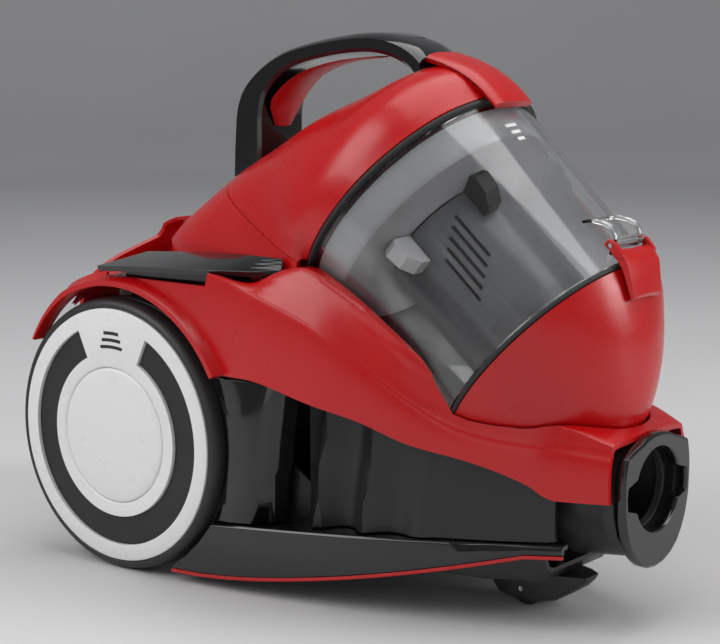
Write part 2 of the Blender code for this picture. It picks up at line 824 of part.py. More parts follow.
def tyre_cutter(side):
    radius = WHEEL_RADIUS + 3.0
    profile = [(0, TUB_HALF - 1), (radius, TUB_HALF - 1), (radius, TRACK_HALF + 8), (0, TRACK_HALF + 8)]
    return lathe("tyre_cutter", profile, wheel_frame(side), black_plastic(), 44, ring=False)


def make_strip(word, side):
    """Thin red trim under the skirt."""
    sections = []
    for k in range(13):
        x = 45 + (284 - 45) * k / 12
        out = curve(SLED_PLAN, x) + BODY_HALF - 97.0 + 0.4
        top = min(sled_lower(x), sled_upper(x) - 5.5) - GAP
        loop = [(out, top), (out, top - 1.8), (out - 0.8, top - 2.2), (out - 2.6, top - 2.2),
            (out - 2.6, top)]
        sections.append([(x, side * y, z) for y, z in loop])
    obj = loft(f"sled_strip_{word}", sections, red_plastic())
    combine(obj, tyre_cutter(side))
    return obj


def make_side_panel(word, side):
    """Smooth convex panel between the tyre and the finned recess."""
    sections = []
    for k in range(6):
        share = k / 5
        bulge = 5.0 * math.sin(math.pi * share)
        plan = [(70, 82), (70, 95), (86, 96 + bulge * 0.6), (100, 94 + bulge), (112, 90 + bulge),
            (119, 84 + bulge * 0.6),
                (121, 72), (104, 81.5)]
        grow = TUB_HALF - 79.5
        rows = []
        for x, y in plan:
            low = sled_upper(x) + 1.0
            top = curve(LOWER_EDGE, x) - 2.0
            reach = min(y + grow, side_half(x) - 0.5)
            rows.append((x - 7 * (1 - share) * (x > 100), side * reach, low + (top - low) * share))
        sections.append(rows)
    obj = loft(f"side_panel_{word}", sections, gloss_black())
    combine(obj, tyre_cutter(side))
    return obj


def make_side_insert(word, side):
    """Recess wall with three upright curved fins."""
    stations = 26
    outer = []
    inner = []
    for row in range(5):
        share = row / 4
        out_row = []
        in_row = []
        for k in range(stations + 1):
            x = 126 + (278 - 126) * k / stations
            base = curve([(126, 68.5), (200, 68), (235, 60), (262, 50), (278, 42)], x) + TUB_HALF - 79.5
            room = side_half(x) - base - 8
            lean = 10 * share
            swell = sum(math.exp(-((x - centre - lean) / width) ** 2)
                        for centre, width in ((140, 7), (172, 8), (206, 7)))
            y = base + room * min(swell, 1.0) * 0.75
            low = sled_upper(x) + 1.2
            top = curve(LOWER_EDGE, x) - 1.2
            z = low + (top - low) * share
            out_row.append((x, side * y, z))
            in_row.append((x, side * (base - 2.4), z))
        outer.append(out_row)
        inner.append(in_row)
    return band(f"side_insert_{word}", outer, inner, black_plastic())


# ---------------------------------------------------------------- hose port

def shield(grow=0.0):
    """Outline of the port face as (y, z), anticlockwise from the top."""
    scale = PORT_BORE / 47.0
    half = [(0, 31.5), (10, 31), (17, 28), (24, 25.5), (31, 25.5), (35, 21), (36.3, 6), (35.5, -10),
        (31, -25), (22, -37),
            (12, -43), (0, -44.5)]
    left = [(y * scale, z * scale) for y, z in half]
    right = [(-y, z) for y, z in reversed(left[1:-1])]
    ring = left + right
    return [(y + math.copysign(grow, y) * (abs(y) > 1), PORT_Z + z + math.copysign(grow, z)) for y,
        z in ring]


def resampled(ring, count, centre_z):
    """The radius of an outline in evenly spaced directions."""
    centre = Vector((0, centre_z))
    line = [Vector(p) for p in ring] + [Vector(ring[0])]
    found = []
    for k in range(count):
        turn = 2 * math.pi * k / count
        ray = Vector((math.sin(turn), math.cos(turn)))
        for a, b in zip(line, line[1:]):
            edge = b - a
            cross = ray.x * edge.y - ray.y * edge.x
            if abs(cross) < 1e-9:
                continue
            start = a - centre
            along = (start.x * edge.y - start.y * edge.x) / cross
            share = (start.x * ray.y - start.y * ray.x) / cross
            if along > 0 and -1e-9 <= share < 1 + 1e-9:
                found.append(centre + ray * along)
                break
    return found


def bore_ring(radius, notch, count):
    ring = []
    for k in range(count):
        turn = 2 * math.pi * k / count
        sideways = abs(abs(math.degrees(turn) - 180) - 90)
        reach = radius + (notch if sideways < 16 else 0.0)
        ring.append(Vector((reach * math.sin(turn), PORT_Z + reach * math.cos(turn))))
    return ring


def tube(name, rings_out, rings_in, look, angle=35.0):
    """A pipe through matching closed loops, outer and inner."""
    count = len(rings_out[0])
    rows = len(rings_out)
    points = [p for ring in rings_out for p in ring] + [p for ring in rings_in for p in ring]
    shift = rows * count
    faces = []
    for r in range(rows - 1):
        for i in range(count):
            j = (i + 1) % count
            a, b = r * count + i, r * count + j
            faces.append((a, b, b + count, a + count))
            faces.append((shift + a, shift + a + count, shift + b + count, shift + b))
    for r in (0, rows - 1):
        for i in range(count):
            j = (i + 1) % count
            a, b = r * count + i, r * count + j
            faces.append((a, b, shift + b, shift + a))
    return build(name, points, faces, look, angle)


def make_port_collar():
    """Black nose behind the face, whose bore bends down into the duct."""
    count = 28
    outline = resampled(shield(), count, PORT_Z)
    back = PORT_FACE_X - COLLAR_LENGTH
    front = PORT_FACE_X - 6.0 - GAP
    reach = PORT_BORE / 2 + 0.6
    stations = [(back, 0.93, 18.2, -14.0, 0.0), (back + 26, 0.99, reach - 2.0, -5.0, 0.0),
        (PORT_FACE_X - PORT_DEPTH - 1, 1.03, reach, 0.0, 0.0),
                (front - 6, 1.05, reach, 0.0, 0.0), (front - 5, 1.05, reach, 0.0, 0.5),
                (front, 1.05, reach, 0.0, 0.5)]
    rings = []
    hole = []
    for x, wide, radius, drop, notch in stations:
        tall = 0.86 + 0.12 * (front - x) / (front - back)
        rings.append([(x, p.x * wide, PORT_Z + (p.y - PORT_Z) * tall) for p in outline])
        hole.append([(x, p.x, p.y + drop) for p in bore_ring(radius, PORT_NOTCH * notch, count)])
    obj = tube("port_collar", rings, hole, black_plastic())
    return combine(obj, container_cutter())


def make_port_face():
    count = 32
    outline = resampled(shield(), count, PORT_Z)
    low = PORT_FACE_X - 6.0
    rings = []
    holes = []
    for x, shrink, open_by in ((low, 0.985, 0.0), (low + 1.2, 1.0, 0.0), (PORT_FACE_X - 1.2, 1.0, 0.0),
        (PORT_FACE_X, 0.965, 0.8)):
        rings.append([(x, p.x * shrink, PORT_Z + (p.y - PORT_Z) * shrink) for p in outline])
        holes.append([(x, p.x, p.y) for p in bore_ring(PORT_BORE / 2 + open_by, PORT_NOTCH, count)])
    return tube("port_face", rings, holes, gloss_black())


def make_port_seal():
    outer = PORT_BORE / 2 + 0.6 - GAP
    middle = PORT_FACE_X - PORT_DEPTH
    profile = [(outer - 2.2, middle), (outer, middle), (outer, middle + 4), (outer - 1.4, middle + 4)]
    return lathe("port_seal", profile, along_x(0, 0, PORT_Z), rubber(), 32)


def make_duct():
    """Suction duct from the nose, under the nest, up to the bin's inlet."""
    radius = 17.0
    back = PORT_FACE_X - COLLAR_LENGTH - GAP
    low = PORT_Z - 14.0
    path = spline([(back, low), (back - 12, low - 4), (back - 26, low - 14), (226, -38), (194, -34),
        (168, -20)], 12)
    outer = []
    inner = []
    for k, p in enumerate(path):
        run = (path[min(k + 1, 11)] - path[max(k - 1, 0)]).normalized() if k else Vector((-1, 0))
        side = Vector((-run.y, run.x))
        ring_out = []
        ring_in = []
        for m in range(12):
            turn = 2 * math.pi * m / 12
            for ring, size in ((ring_out, radius), (ring_in, radius - 2.0)):
                place = p + side * (size * math.cos(turn))
                ring.append((place.x, size * math.sin(turn), place.y))
        outer.append(ring_out)
        inner.append(ring_in)
    return tube("suction_duct", outer, inner, black_plastic())


# ---------------------------------------------------------------- container

def make_gasket():
    inner = BIN_RADIUS - 4.0
    profile = [(inner, -RING_DEPTH), (LID_RADIUS - 0.4, -RING_DEPTH), (LID_RADIUS, -RING_DEPTH / 2),
        (LID_RADIUS - 0.8, -GAP),
               (inner, -GAP)]
    return lathe("lid_gasket", profile, bin_frame(), rubber(), 40)


def make_bin():
    foot = bin_radius(BIN_LENGTH)
    profile = [(BIN_RADIUS, 0), (foot, BIN_LENGTH), (foot - BIN_WALL, BIN_LENGTH),
        (BIN_RADIUS - BIN_WALL, 0)]
    return lathe("clear_bin", profile, bin_frame(), clear_plastic(), 40)


def make_separator():
    """Pale funnel that closes the mouth of the bin and carries the cyclone."""
    rim = BIN_RADIUS - BIN_WALL - 0.6
    profile = [(38, 2.0), (rim - 0.4, 2.0), (rim - 1.4, 19.0), (rim - 3, 22.0), (50, 22.5), (46, 24),
        (41, 24), (41, 19), (38, 8)]
    return lathe("separator_funnel", profile, bin_frame(), material("pale_plastic", (0.6, 0.61, 0.62),
        0.35), 28)


def make_shroud():
    """Smoky cylinder with long slots round it."""
    outer = SHROUD_RADIUS
    profile = [(outer, 25), (outer, 112), (outer - 2, 112), (outer - 2, 25)]
    obj = lathe("cyclone_shroud", profile, bin_frame(), smoke_plastic(), 24)
    for k in range(5):
        turn = math.radians(48 + 7 * k)
        away = bin_frame() @ Matrix.Rotation(turn, 4, "Z")
        points = [away @ Vector((r, s, d)) for d in (34 + 4 * k, 66 + 4 * k) for r,
            s in ((35, -1), (45, -1), (45, 1), (35, 1))]
        slot = loft("slot", [points[:4], points[4:]], black_plastic())
        combine(obj, slot)
    return obj


def make_cone():
    profile = [(30, 12), (33, 12), (33, 30), (18, 88), (15.5, 88), (30, 30)]
    return lathe("cyclone_cone", profile, bin_frame(), material("dark_plastic", (0.05, 0.05, 0.055), 0.4),
        20)


def make_clip(name, turn, depth, look):
    """Small bracket with a screw boss on the shroud's flank."""
    away = bin_frame(depth) @ Matrix.Rotation(math.radians(turn), 4, "Z")
    foot = SHROUD_RADIUS + 0.4
    loop = [(foot, 0), (foot + 14, 0), (foot + 17, 4), (foot + 15, 14), (foot + 8, 20), (foot, 20)]
    sections = [[away @ Vector((r, s, d)) for r, d in loop] for s in (-5, 5)]
    return loft(name, sections, look)


def make_cup():
    """Domed bottom flap, open towards the bin."""
    outside = cup_profile()
    wall = 2.5
    inside = [(max(r - wall, 0.5), d - wall * (i / (len(outside) - 1))) for i, (r, d) in enumerate(outside)]
    inside[0] = (outside[0][0] - wall, outside[0][1])
    profile = [(0, outside[-1][1] + 0.5 - wall)] + list(reversed(inside)) + outside + [(0,
        outside[-1][1] + 0.5)]
    return lathe("bin_flap", profile, bin_frame(), red_plastic(), 36, ring=False, angle=50)


def make_flap_seal():
    low = BIN_LENGTH + GAP
    rim = BIN_FOOT + 0.8
    profile = [(rim - 5, low), (rim, low), (rim + 0.4, low + 1.2), (rim, CUP_START - GAP),
        (rim - 5, CUP_START - GAP)]
    return lathe("flap_seal", profile, bin_frame(), rubber(), 36)


def make_flap_pin():
    """Hinge pin across the lower edge of the bin."""
    place = bin_frame(CUP_START - 2.5) @ Vector((-(BIN_FOOT + 4.6), 0, 0))
    profile = [(0, -16), (1.6, -16), (1.6, 16), (0, 16)]
    return lathe("flap_pin", profile, wheel_frame(1, place.x, place.z), steel(), 12, ring=False)


HANDLE_LINE = [(34, 154), (35, 176), (37, 198), (46, 213), (66, 226.5), (97, 234), (128, 237), (150, 233.5),
               (165, 225), (170, 214)]
HANDLE_THICK = [22, 22, 20, 15, 11, 10, 10, 10, 10, 10]


def strap(name, line, thick, half, look, count, crown=1.2):
    """A flat bar swept along a line in the middle plane, with eased edges."""
    path = spline([(x, z, t) for (x, z), t in zip(line, thick)], count)
    sections = []
    for k, p in enumerate(path):
        run = Vector((path[min(k + 1, count - 1)] - path[max(k - 1, 0)])[:2]).normalized()
        side = Vector((-run.y, run.x))
        high = p.z / 2
        loop = [(-half, -high + 2), (-half + 2, -high), (half - 2, -high), (half, -high + 2),
            (half, high - 2),
                (half - 2.5, high - 0.4), (half * 0.5, high + crown), (-half * 0.5, high + crown),
                (-half + 2.5, high - 0.4),
                (-half, high - 2)]
        sections.append([(p.x + side.x * h, y, p.y + side.y * h) for y, h in loop])
    return loft(name, sections, look, 40)


def make_handle():
    obj = strap("handle", HANDLE_LINE, HANDLE_THICK, HANDLE_HALF, gloss_black(), 19)
    combine(obj, hood_cutter(GAP), solver="MANIFOLD")
    front = box("front_cutter", (168.5, -40, 200), (190, 40, 260), black_plastic())
    combine(obj, front)
    return obj


def make_grip():
    """Soft red pad on the inner face of the rear leg and under the arch."""
    line = [(46.4, 186), (49.6, 199), (57.0, 208.5), (72, 219.0), (97, 226.3), (126, 229.4)]
    thick = [3.4, 3.6, 3.2, 2.4, 1.6, 1.2]
    halves = [7.0, 15.0, 15.5, 13.0, 10.0, 7.0]
    path = spline([(x, z, t) for (x, z), t in zip(line, thick)], 13)
    width = spline([(h, 0) for h in halves], 13)
    sections = []
    for k, p in enumerate(path):
        run = Vector((path[min(k + 1, 12)] - path[max(k - 1, 0)])[:2]).normalized()
        side = Vector((run.y, -run.x))
        half = width[k].x
        loop = [(-half, 0), (-half * 0.8, p.z * 0.6), (0, p.z), (half * 0.8, p.z * 0.6), (half, 0)]
        sections.append([(p.x + side.x * h, y, p.y + side.y * h) for y, h in loop])
    return loft("handle_grip", sections, material("red_soft_grip", (0.55, 0.02, 0.02), 0.6), 40)


def make_latch():
    """Sprung release strip over the front of the lid, hooked over the gasket."""
    line = [(171, 229), (184, 225.4), (198, 219.5), (210.5, 211.2), (219.5, 203)]
    obj = strap("release_latch", line, [5, 5, 5, 5, 4.5], LATCH_HALF, red_plastic(), 10, 0.8)
    combine(obj, hood_cutter(0.6), solver="MANIFOLD")
    ring = lathe("ring_cutter", [(60, -RING_DEPTH - 3), (LID_RADIUS + 0.7, -RING_DEPTH - 3),
        (LID_RADIUS + 0.7, 4), (60, 4)],
                 bin_frame(), red_plastic(), 44)
    combine(obj, ring)
    return obj


def lever_point(depth, radius):
    place = bin_frame(depth) @ Vector((radius, 0, 0))
    return Vector((place.x, place.z))


def lever_pivot():
    return lever_point(BIN_LENGTH - LEVER_PIVOT_DEPTH, BIN_FOOT + LEVER_PIVOT_RISE)


def lever_pin_cutter():
    place = lever_pivot()
    reach = LEVER_HALF + 4.0
    hole = [(0, -reach), (PIN_RADIUS + GAP, -reach), (PIN_RADIUS + GAP, reach), (0, reach)]
    return lathe("pin_hole", hole, wheel_frame(1, place.x, place.y), steel(), 12, ring=False)


def make_lever():
    """Finger lever that holds the flap shut, dished on top, with an ear on each side for its pin."""
    rows = [(-4.5, 5.4, 2.0, 1.0), (0, 6.0, 2.5, 0.7), (6, 4.4, 2.6, 0.3), (13, -0.9, 2.2, 0.0),
        (20, -6.9, 1.5, 0.0)]
    curve_radius = BIN_FOOT + 5.0
    sections = []
    for depth, rise, thick, dish in rows:
        half = LEVER_HALF - 2.5 * max(0.0, depth - 6) / 14
        low = []
        high = []
        for share in (-1.0, -0.8, -0.4, 0.0, 0.4, 0.8, 1.0):
            y = half * share
            middle = BIN_FOOT + rise - curve_radius + math.sqrt(curve_radius ** 2 - y ** 2)
            under = lever_point(BIN_LENGTH + depth, middle - thick)
            over = lever_point(BIN_LENGTH + depth, middle + thick - dish * (1 - abs(share)) * 2)
            low.append((under.x, y, under.y))
            high.append((over.x, y, over.y))
        sections.append(low + high[::-1])
    obj = loft("flap_lever", sections, red_plastic())
    combine(obj, lathe("keep", cup_ring(0.5), bin_frame(), red_plastic(), 40))
    ear = [(-11.6, 2.8), (-11.6, 6.8), (-7.0, 8.4), (0.5, 7.4), (1.5, 4.6), (-5.0, 2.6)]
    for side in (RIGHT, LEFT):
        sections = []
        for y in (LEVER_HALF - 1.6, LEVER_HALF + 1.2):
            outline = [lever_point(BIN_LENGTH + d, BIN_FOOT + r) for d, r in ear]
            sections.append([(q.x, side * y, q.y) for q in outline])
        combine(obj, loft("ear", sections, red_plastic()), "UNION")
    return combine(obj, lever_pin_cutter())


def cup_ring(grow):
    """Thick ring outline that covers the bin's foot, the seal and the flap's wall."""
    outside = cup_profile(grow)
    return [(30, BIN_LENGTH - 40), (bin_radius(BIN_LENGTH - 40) + grow, BIN_LENGTH - 40),
        (BIN_FOOT + 0.8 + grow, BIN_LENGTH - 0.5),
            (BIN_FOOT + 1.3 + grow, CUP_START)] + outside[1:6] + [(30, outside[5][1])]


def make_lever_pin():
    place = lever_pivot()
    reach = LEVER_HALF + 1.0
    profile = [(0, -reach), (PIN_RADIUS, -reach), (PIN_RADIUS, reach), (0, reach)]
    return lathe("lever_pin", profile, wheel_frame(1, place.x, place.y), steel(), 12, ring=False)


def make_loop():
    """Clear bracket on the bin wall that carries the lever's pin."""
    frame = bin_frame(BIN_LENGTH)
    half = LEVER_HALF - 2.2
    arch = [(-6.4, -6.0), (-6.6, 2.0), (-9.8, 8.6), (-16, 10.4), (-24, 7.0), (-30, 1.5), (-31, -6.0)]
    count = 14
    path = spline([(d, BIN_FOOT + r, 0) for d, r in arch], count)
    sections = []
    for k, p in enumerate(path):
        run = (path[min(k + 1, count - 1)] - path[max(k - 1, 0)]).normalized()
        off = Vector((-run.y, run.x)) * 1.0
        loop = [(-1, -half), (1, -half), (1, half), (-1, half)]
        sections.append([frame @ Vector((p.y + off.y * f, s, p.x + off.x * f)) for f, s in loop])
    obj = loft("lever_bracket", sections, clear_plastic())
    open_half = half - 4.0
    low = BIN_FOOT - 10.0
    high = BIN_FOOT + 25.0
    corners = ((low, -open_half), (high, -open_half), (high, open_half), (low, open_half))
    window = [[frame @ Vector((r, s, d)) for r, s in corners] for d in (-27, -10)]
    combine(obj, loft("window", window, clear_plastic()))
    combine(obj, lathe("keep", cup_ring(0.3), bin_frame(), clear_plastic(), 40))
    return combine(obj, lever_pin_cutter())


# ---------------------------------------------------------------- inside the body

def make_cradle():
    """Half-round tray that the bin rests in."""
    steps = 18
    outer = []
    inner = []
    for depth in (4.0, 40.0, 80.0, 112.0):
        frame = bin_frame(depth)
        clear = bin_radius(depth) + CRADLE_CLEARANCE
        rows = ([], [])
        for k in range(steps + 1):
            turn = math.radians(180 - 48 + 96 * k / steps)
            for row, size in zip(rows, (clear + 2.5, clear)):
                row.append(frame @ Vector((size * math.cos(turn), size * math.sin(turn), 0)))
        outer.append(rows[0])
        inner.append(rows[1])
    obj = band("bin_cradle", outer, inner, black_plastic())
    return obj


def make_motor():
    frame = wheel_frame(1, 52, 8)
    shell = [(34, -44), (37, -44), (37, 40), (30, 44), (10, 44), (10, 41), (28, 41), (34, 37)]
    housing = lathe("motor_housing", shell, frame, black_plastic(), 20)
    rotor = [(0, -40), (3, -40), (3, -34), (26, -34), (30, -26), (26, -22), (18, -18), (18, 28), (3, 28),
        (3, 47), (0, 47)]
    fan = lathe("motor_rotor", rotor, frame, steel(), 16, ring=False)
    return housing, fan


def make_reel():
    frame = wheel_frame(1, -18, -4)
    drum = [(5, -22), (32, -22), (32, -20), (14, -20), (14, 20), (32, 20), (32, 22), (5, 22)]
    reel = lathe("cord_drum", drum, frame, white_plastic(), 18)
    return reel


def make_board():
    return box("circuit_board", (-8, -70, 52), (70, -20, 53.6), board_green())


def make_exhaust_filter():
    """Pleated slab behind the rear cover."""
    ridges = []
    count = 12
    for k in range(count + 1):
        y = -48 + 96 * k / count
        ridges.append((-46 if k % 2 else -52, y))
    outline = ridges + [(x + 2.2, y) for x, y in reversed(ridges)]
    return prism("exhaust_filter", outline, 48, 80, filter_paper())


def make_rear_cover():
    """Rear wall of the red body with outlet slots and a finger tab that hooks over the tower."""
    line = [(-61.8, 45), (-61.8, 64), (-61, 86), (-54.5, 101), (-50.5, 111), (-46.5, 118.5), (-37, 122.8)]
    halves = [74, 74, 68, 46, 14, 12, 10]
    path = spline([(x, z, half) for (x, z), half in zip(line, halves)], 13)
    sections = []
    for k, p in enumerate(path):
        run = Vector((path[min(k + 1, 12)] - path[max(k - 1, 0)])[:2]).normalized()
        side = Vector((-run.y, run.x)) * 1.2
        sections.append([(p.x + side.x * f, y, p.y + side.y * f) for y, f in
                         ((-p.z + 1, -1), (p.z - 1, -1), (p.z, 1), (-p.z, 1))])
    obj = loft("exhaust_cover", sections, red_plastic())
    for k in range(6):
        low = 50 + 5.6 * k
        slot = box("slot", (-80, -40, low), (-40, 40, low + 2.6), red_plastic())
        combine(obj, slot)
    return obj


def make_gland():
    """Bushing where the mains lead leaves the body."""
    frame = along_x(0, 34, 14)
    profile = [(3.6, -63), (9, -63), (9, -60.3), (6.4, -60.3), (6.4, -55), (3.6, -55)]
    return lathe("cord_gland", profile, frame, rubber(), 20)


# ---------------------------------------------------------------- pedals and caster

def pedal_height(x, y):
    """Bowed top surface of the foot plate."""
    outer, inner = pedal_edges(x)
    across = (outer - abs(y)) / max(outer - inner, 1.0)
    along = (x + 12) / 128
    return 103.5 + 3.5 * math.sin(math.pi * 0.62 * along) + 8.5 * across * (0.55 + 0.45 * along)


def make_pedal(word, side):
    """Bowed foot plate with a skirt that dips into its pocket."""
    sections = []
    for x in (-12, 6, 24, 43, 61, 78, 97, 116):
        outer, inner = pedal_edges(x)
        across = [outer + (inner - outer) * k / 4 for k in range(5)]
        top = [(y, pedal_height(x, y)) for y in across]
        low = [(y, z - 3.0) for y, z in reversed(top)]
        low[-1] = (low[-1][0] - 1.5, low[-1][1] - 0.4)
        sections.append([(x, side * y, z) for y, z in top + low])
    obj = loft(f"pedal_{word}", sections, gloss_black(), 30)
    outside = pedal_outline(side, 12.0, 2.4)
    inside = pedal_outline(side, 14.2, 4.6)
    rings = []
    for outline in (outside, inside):
        rings.append([[(x, y, 91.0) for x, y in outline], [(x, y, pedal_height(x, y) - 1.5) for x,
            y in outline]])
    skirt = tube("skirt", rings[0], rings[1], gloss_black())
    combine(obj, skirt, "UNION")
    return obj


def make_caster():
    floor = -WHEEL_RADIUS
    top = TUB_FLOOR - 0.8
    axle_x = CASTER_PIVOT_X - CASTER_TRAIL
    axle_z = floor + ROLLER_RADIUS
    rows = [(-45, 7, 19, 0.5), (-40, 12, 11, 0.0), (-33, 14.5, 5.5, 0.0), (-22, 15.5, 4.0, 0.0),
        (-8, 15.5, 4.5, 0.0),
            (4, 14.5, 7.5, 0.0), (14, 11, 14, 0.0), (21, 7, 20, 0.5)]
    sections = []
    for dx, half, low, ease in rows:
        x = CASTER_PIVOT_X + dx
        bottom = floor + low
        roof = top - ease
        loop = [(-half + 3, bottom), (half - 3, bottom), (half, bottom + 2), (half, roof), (-half, roof),
            (-half, bottom + 2)]
        sections.append([(x, y, z) for y, z in loop])
    housing = loft("caster_housing", sections, black_plastic())
    well = lathe("well", [(0, -ROLLER_HALF - 1), (ROLLER_RADIUS + 1.5, -ROLLER_HALF - 1),
        (ROLLER_RADIUS + 1.5, ROLLER_HALF + 1),
                          (0, ROLLER_HALF + 1)], wheel_frame(1, axle_x, axle_z), black_plastic(), 24,
                          ring=False)
    combine(housing, well)
    socket = lathe("socket", [(0, TUB_FLOOR - 7.4), (5.3, TUB_FLOOR - 7.4), (5.3, TUB_FLOOR + 2),
        (0, TUB_FLOOR + 2)],
                   upright(CASTER_PIVOT_X, 0, 0), steel(), 20, ring=False)
    combine(housing, socket)
    hole = lathe("hole", [(0, -30), (2.0, -30), (2.0, 30), (0, 30)], wheel_frame(1, axle_x, axle_z),
        black_plastic(), 12, ring=False)
    combine(housing, hole)
    roller = lathe("caster_roller", [(1.9, -ROLLER_HALF), (ROLLER_RADIUS - 1, -ROLLER_HALF),
        (ROLLER_RADIUS, -ROLLER_HALF + 1),
                                     (ROLLER_RADIUS, ROLLER_HALF - 1), (ROLLER_RADIUS - 1, ROLLER_HALF),
                                     (1.9, ROLLER_HALF)],
                   wheel_frame(1, axle_x, axle_z), material("roller_grey", (0.03, 0.03, 0.03), 0.5), 20)
    pin = lathe("caster_pin", [(0, -14.6), (1.6, -14.6), (1.6, 14.6), (0, 14.6)],
        wheel_frame(1, axle_x, axle_z), steel(), 12, ring=False)
    return housing, roller, pin


def make_stem():
    """Swivel pin between the caster and the chassis floor."""
    low = TUB_FLOOR - 7
    profile = [(0, low), (5.0, low), (5.0, TUB_FLOOR + 3.0), (7.6, TUB_FLOOR + 3.0),
        (7.6, TUB_FLOOR + 5.0), (0, TUB_FLOOR + 5.0)]
    return lathe("caster_stem", profile, upright(CASTER_PIVOT_X, 0, 0), steel(), 16, ring=False)


def make_rear_panel():
    """Black lower rear wall, with a hole for the mains lead's bushing."""
    section = tub_section(-57, 0, TUB_HALF - 6.0, -46, 43.0)
    loop = [(y, z) for _, y, z in section]
    obj = loft("rear_panel", [[(x, y, z) for y, z in loop] for x in (-60.0, -57.0 - GAP)], black_plastic())
    hole = lathe("hole", [(0, -70), (6.8, -70), (6.8, -50), (0, -50)], along_x(0, 34, 14),
        black_plastic(), 20, ring=False)
    return combine(obj, hole)


# ---------------------------------------------------------------- assembly

def empty(name, place, parent=None):
    made = bpy.data.objects.new(name, None)
    bpy.context.scene.collection.objects.link(made)
    made.location = Vector(place) * MM
    if parent:
        made.parent = parent
        made.location -= parent_place(parent)
    made["place"] = [c * MM for c in place]
    return made


def parent_place(parent):
    return Vector(parent["place"])


def attach(pieces, body):
    """Moves each mesh into its body's own frame, whose origin lies on the joint axis."""
    shift = Matrix.Translation(-parent_place(body))
    for piece in pieces:
        piece.data.transform(shift)
        piece.parent = body


def assemble():
    clear_scene()
    root = empty("vacuum_root", (0, 0, 0))
    root.location = Vector((SHIFT_X, 0, WHEEL_RADIUS)) * MM
    body = [make_shell(), make_tower(), make_tub(), make_rear_cover(), make_gland(), make_cradle(),
        make_duct()]
    body += [make_port_collar(), make_port_face(), make_port_seal(), make_board(), make_exhaust_filter(),
        make_stem()]
    for word, side in SIDES:
        body += [wheel_axle(f"wheel_axle_{word}", side), make_sled(word, side)]
        body += [make_strip(word, side), make_side_panel(word, side), make_side_insert(word, side)]
    motor, rotor = make_motor()
    reel = make_reel()
    body += [motor, make_rear_panel()]
    attach(body, root)
    for (word, side), pieces in zip(SIDES, make_wheels().values()):
        attach(pieces, empty(f"wheel_axis_{word}", (0, 0, 0), root))
        attach([make_pedal(word, side)], empty(f"pedal_axis_{word}", (PEDAL_HINGE_X, side * 82,
            PEDAL_HINGE_Z), root))
    attach([rotor], empty("motor_axis", (52, 0, 8), root))
    attach([reel], empty("reel_axis", (-18, 0, -4), root))
    housing, roller, pin = make_caster()
    swivel = empty("caster_axis", (CASTER_PIVOT_X, 0, TUB_FLOOR), root)
    attach([housing, pin], swivel)
    axle = (CASTER_PIVOT_X - CASTER_TRAIL, 0, ROLLER_RADIUS - WHEEL_RADIUS)
    attach([roller], empty("roller_axis", axle, swivel))
    lift = empty("container_axis", tuple(MOUTH), root)
    held = [make_lid(), make_gasket(), make_bin(), make_separator(), make_shroud(), make_cone(),
        make_handle(), make_grip()]
    held += [make_flap_seal(), make_flap_pin(), make_loop(), make_lever_pin()]
    held += [make_clip("shroud_clip_dark", 24, 24.5, black_plastic()), make_clip("shroud_clip_pale", 92,
        24.5, white_plastic())]
    attach(held, lift)
    hinge = bin_frame(CUP_START - 2.5) @ Vector((-(BIN_FOOT + 4.6), 0, 0))
    attach([make_cup()], empty("flap_axis", tuple(hinge), lift))
    lever = lever_pivot()
    attach([make_lever()], empty("lever_axis", (lever.x, 0, lever.y), lift))
    attach([make_latch()], empty("latch_axis", (LATCH_HINGE_X, 0, LATCH_HINGE_Z), lift))


assemble()
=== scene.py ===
import json
import math

import bmesh
import bpy
from mathutils import Matrix, Vector

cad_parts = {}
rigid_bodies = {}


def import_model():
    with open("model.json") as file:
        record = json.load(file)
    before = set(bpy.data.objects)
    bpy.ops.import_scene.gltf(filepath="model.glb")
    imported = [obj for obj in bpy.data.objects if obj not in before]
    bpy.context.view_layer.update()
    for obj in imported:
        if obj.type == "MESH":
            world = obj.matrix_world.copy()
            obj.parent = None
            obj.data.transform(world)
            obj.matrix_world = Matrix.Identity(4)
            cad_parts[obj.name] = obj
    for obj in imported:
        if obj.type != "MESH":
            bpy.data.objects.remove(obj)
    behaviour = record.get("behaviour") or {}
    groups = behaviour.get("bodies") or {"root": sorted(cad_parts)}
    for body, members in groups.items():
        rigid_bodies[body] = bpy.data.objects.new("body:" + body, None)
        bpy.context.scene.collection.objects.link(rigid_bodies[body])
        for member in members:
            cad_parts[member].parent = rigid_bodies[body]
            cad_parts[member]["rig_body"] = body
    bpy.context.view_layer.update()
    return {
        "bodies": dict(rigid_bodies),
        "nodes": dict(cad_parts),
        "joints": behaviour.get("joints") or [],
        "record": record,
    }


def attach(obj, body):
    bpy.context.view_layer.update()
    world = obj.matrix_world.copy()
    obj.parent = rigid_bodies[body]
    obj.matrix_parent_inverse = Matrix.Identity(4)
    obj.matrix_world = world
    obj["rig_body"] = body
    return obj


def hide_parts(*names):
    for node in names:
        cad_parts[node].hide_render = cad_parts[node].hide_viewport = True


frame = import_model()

MM = 0.001
GAP = 0.3
WHEEL_RADIUS = 84.0
TRACK_HALF = 105.5
TYRE_WIDTH = 22.5
DISC_RADIUS = 78.2
RING_OUTER = 68.2
RING_INNER = 50.6
CAP_RADIUS = 41.6
BRIDGE_HALF_ANGLE = 25.0
ARCH_CLEARANCE = 7.5
FENDER_THICKNESS = 4.0
BIN_TILT = 41.24
BIN_RADIUS = 81.4
BIN_TAPER = 5.9
BIN_LENGTH = 119.8
BIN_WALL = 2.5
BIN_MOUTH_X = 157.7
BIN_MOUTH_Z = 143.0
CUP_DEPTH = 62.0
SHROUD_RADIUS = 41.5
CRADLE_CLEARANCE = 1.4
RING_DEPTH = 3.0
PORT_BORE = 47.0
PORT_FACE_X = 318.0
WALL = 3.0
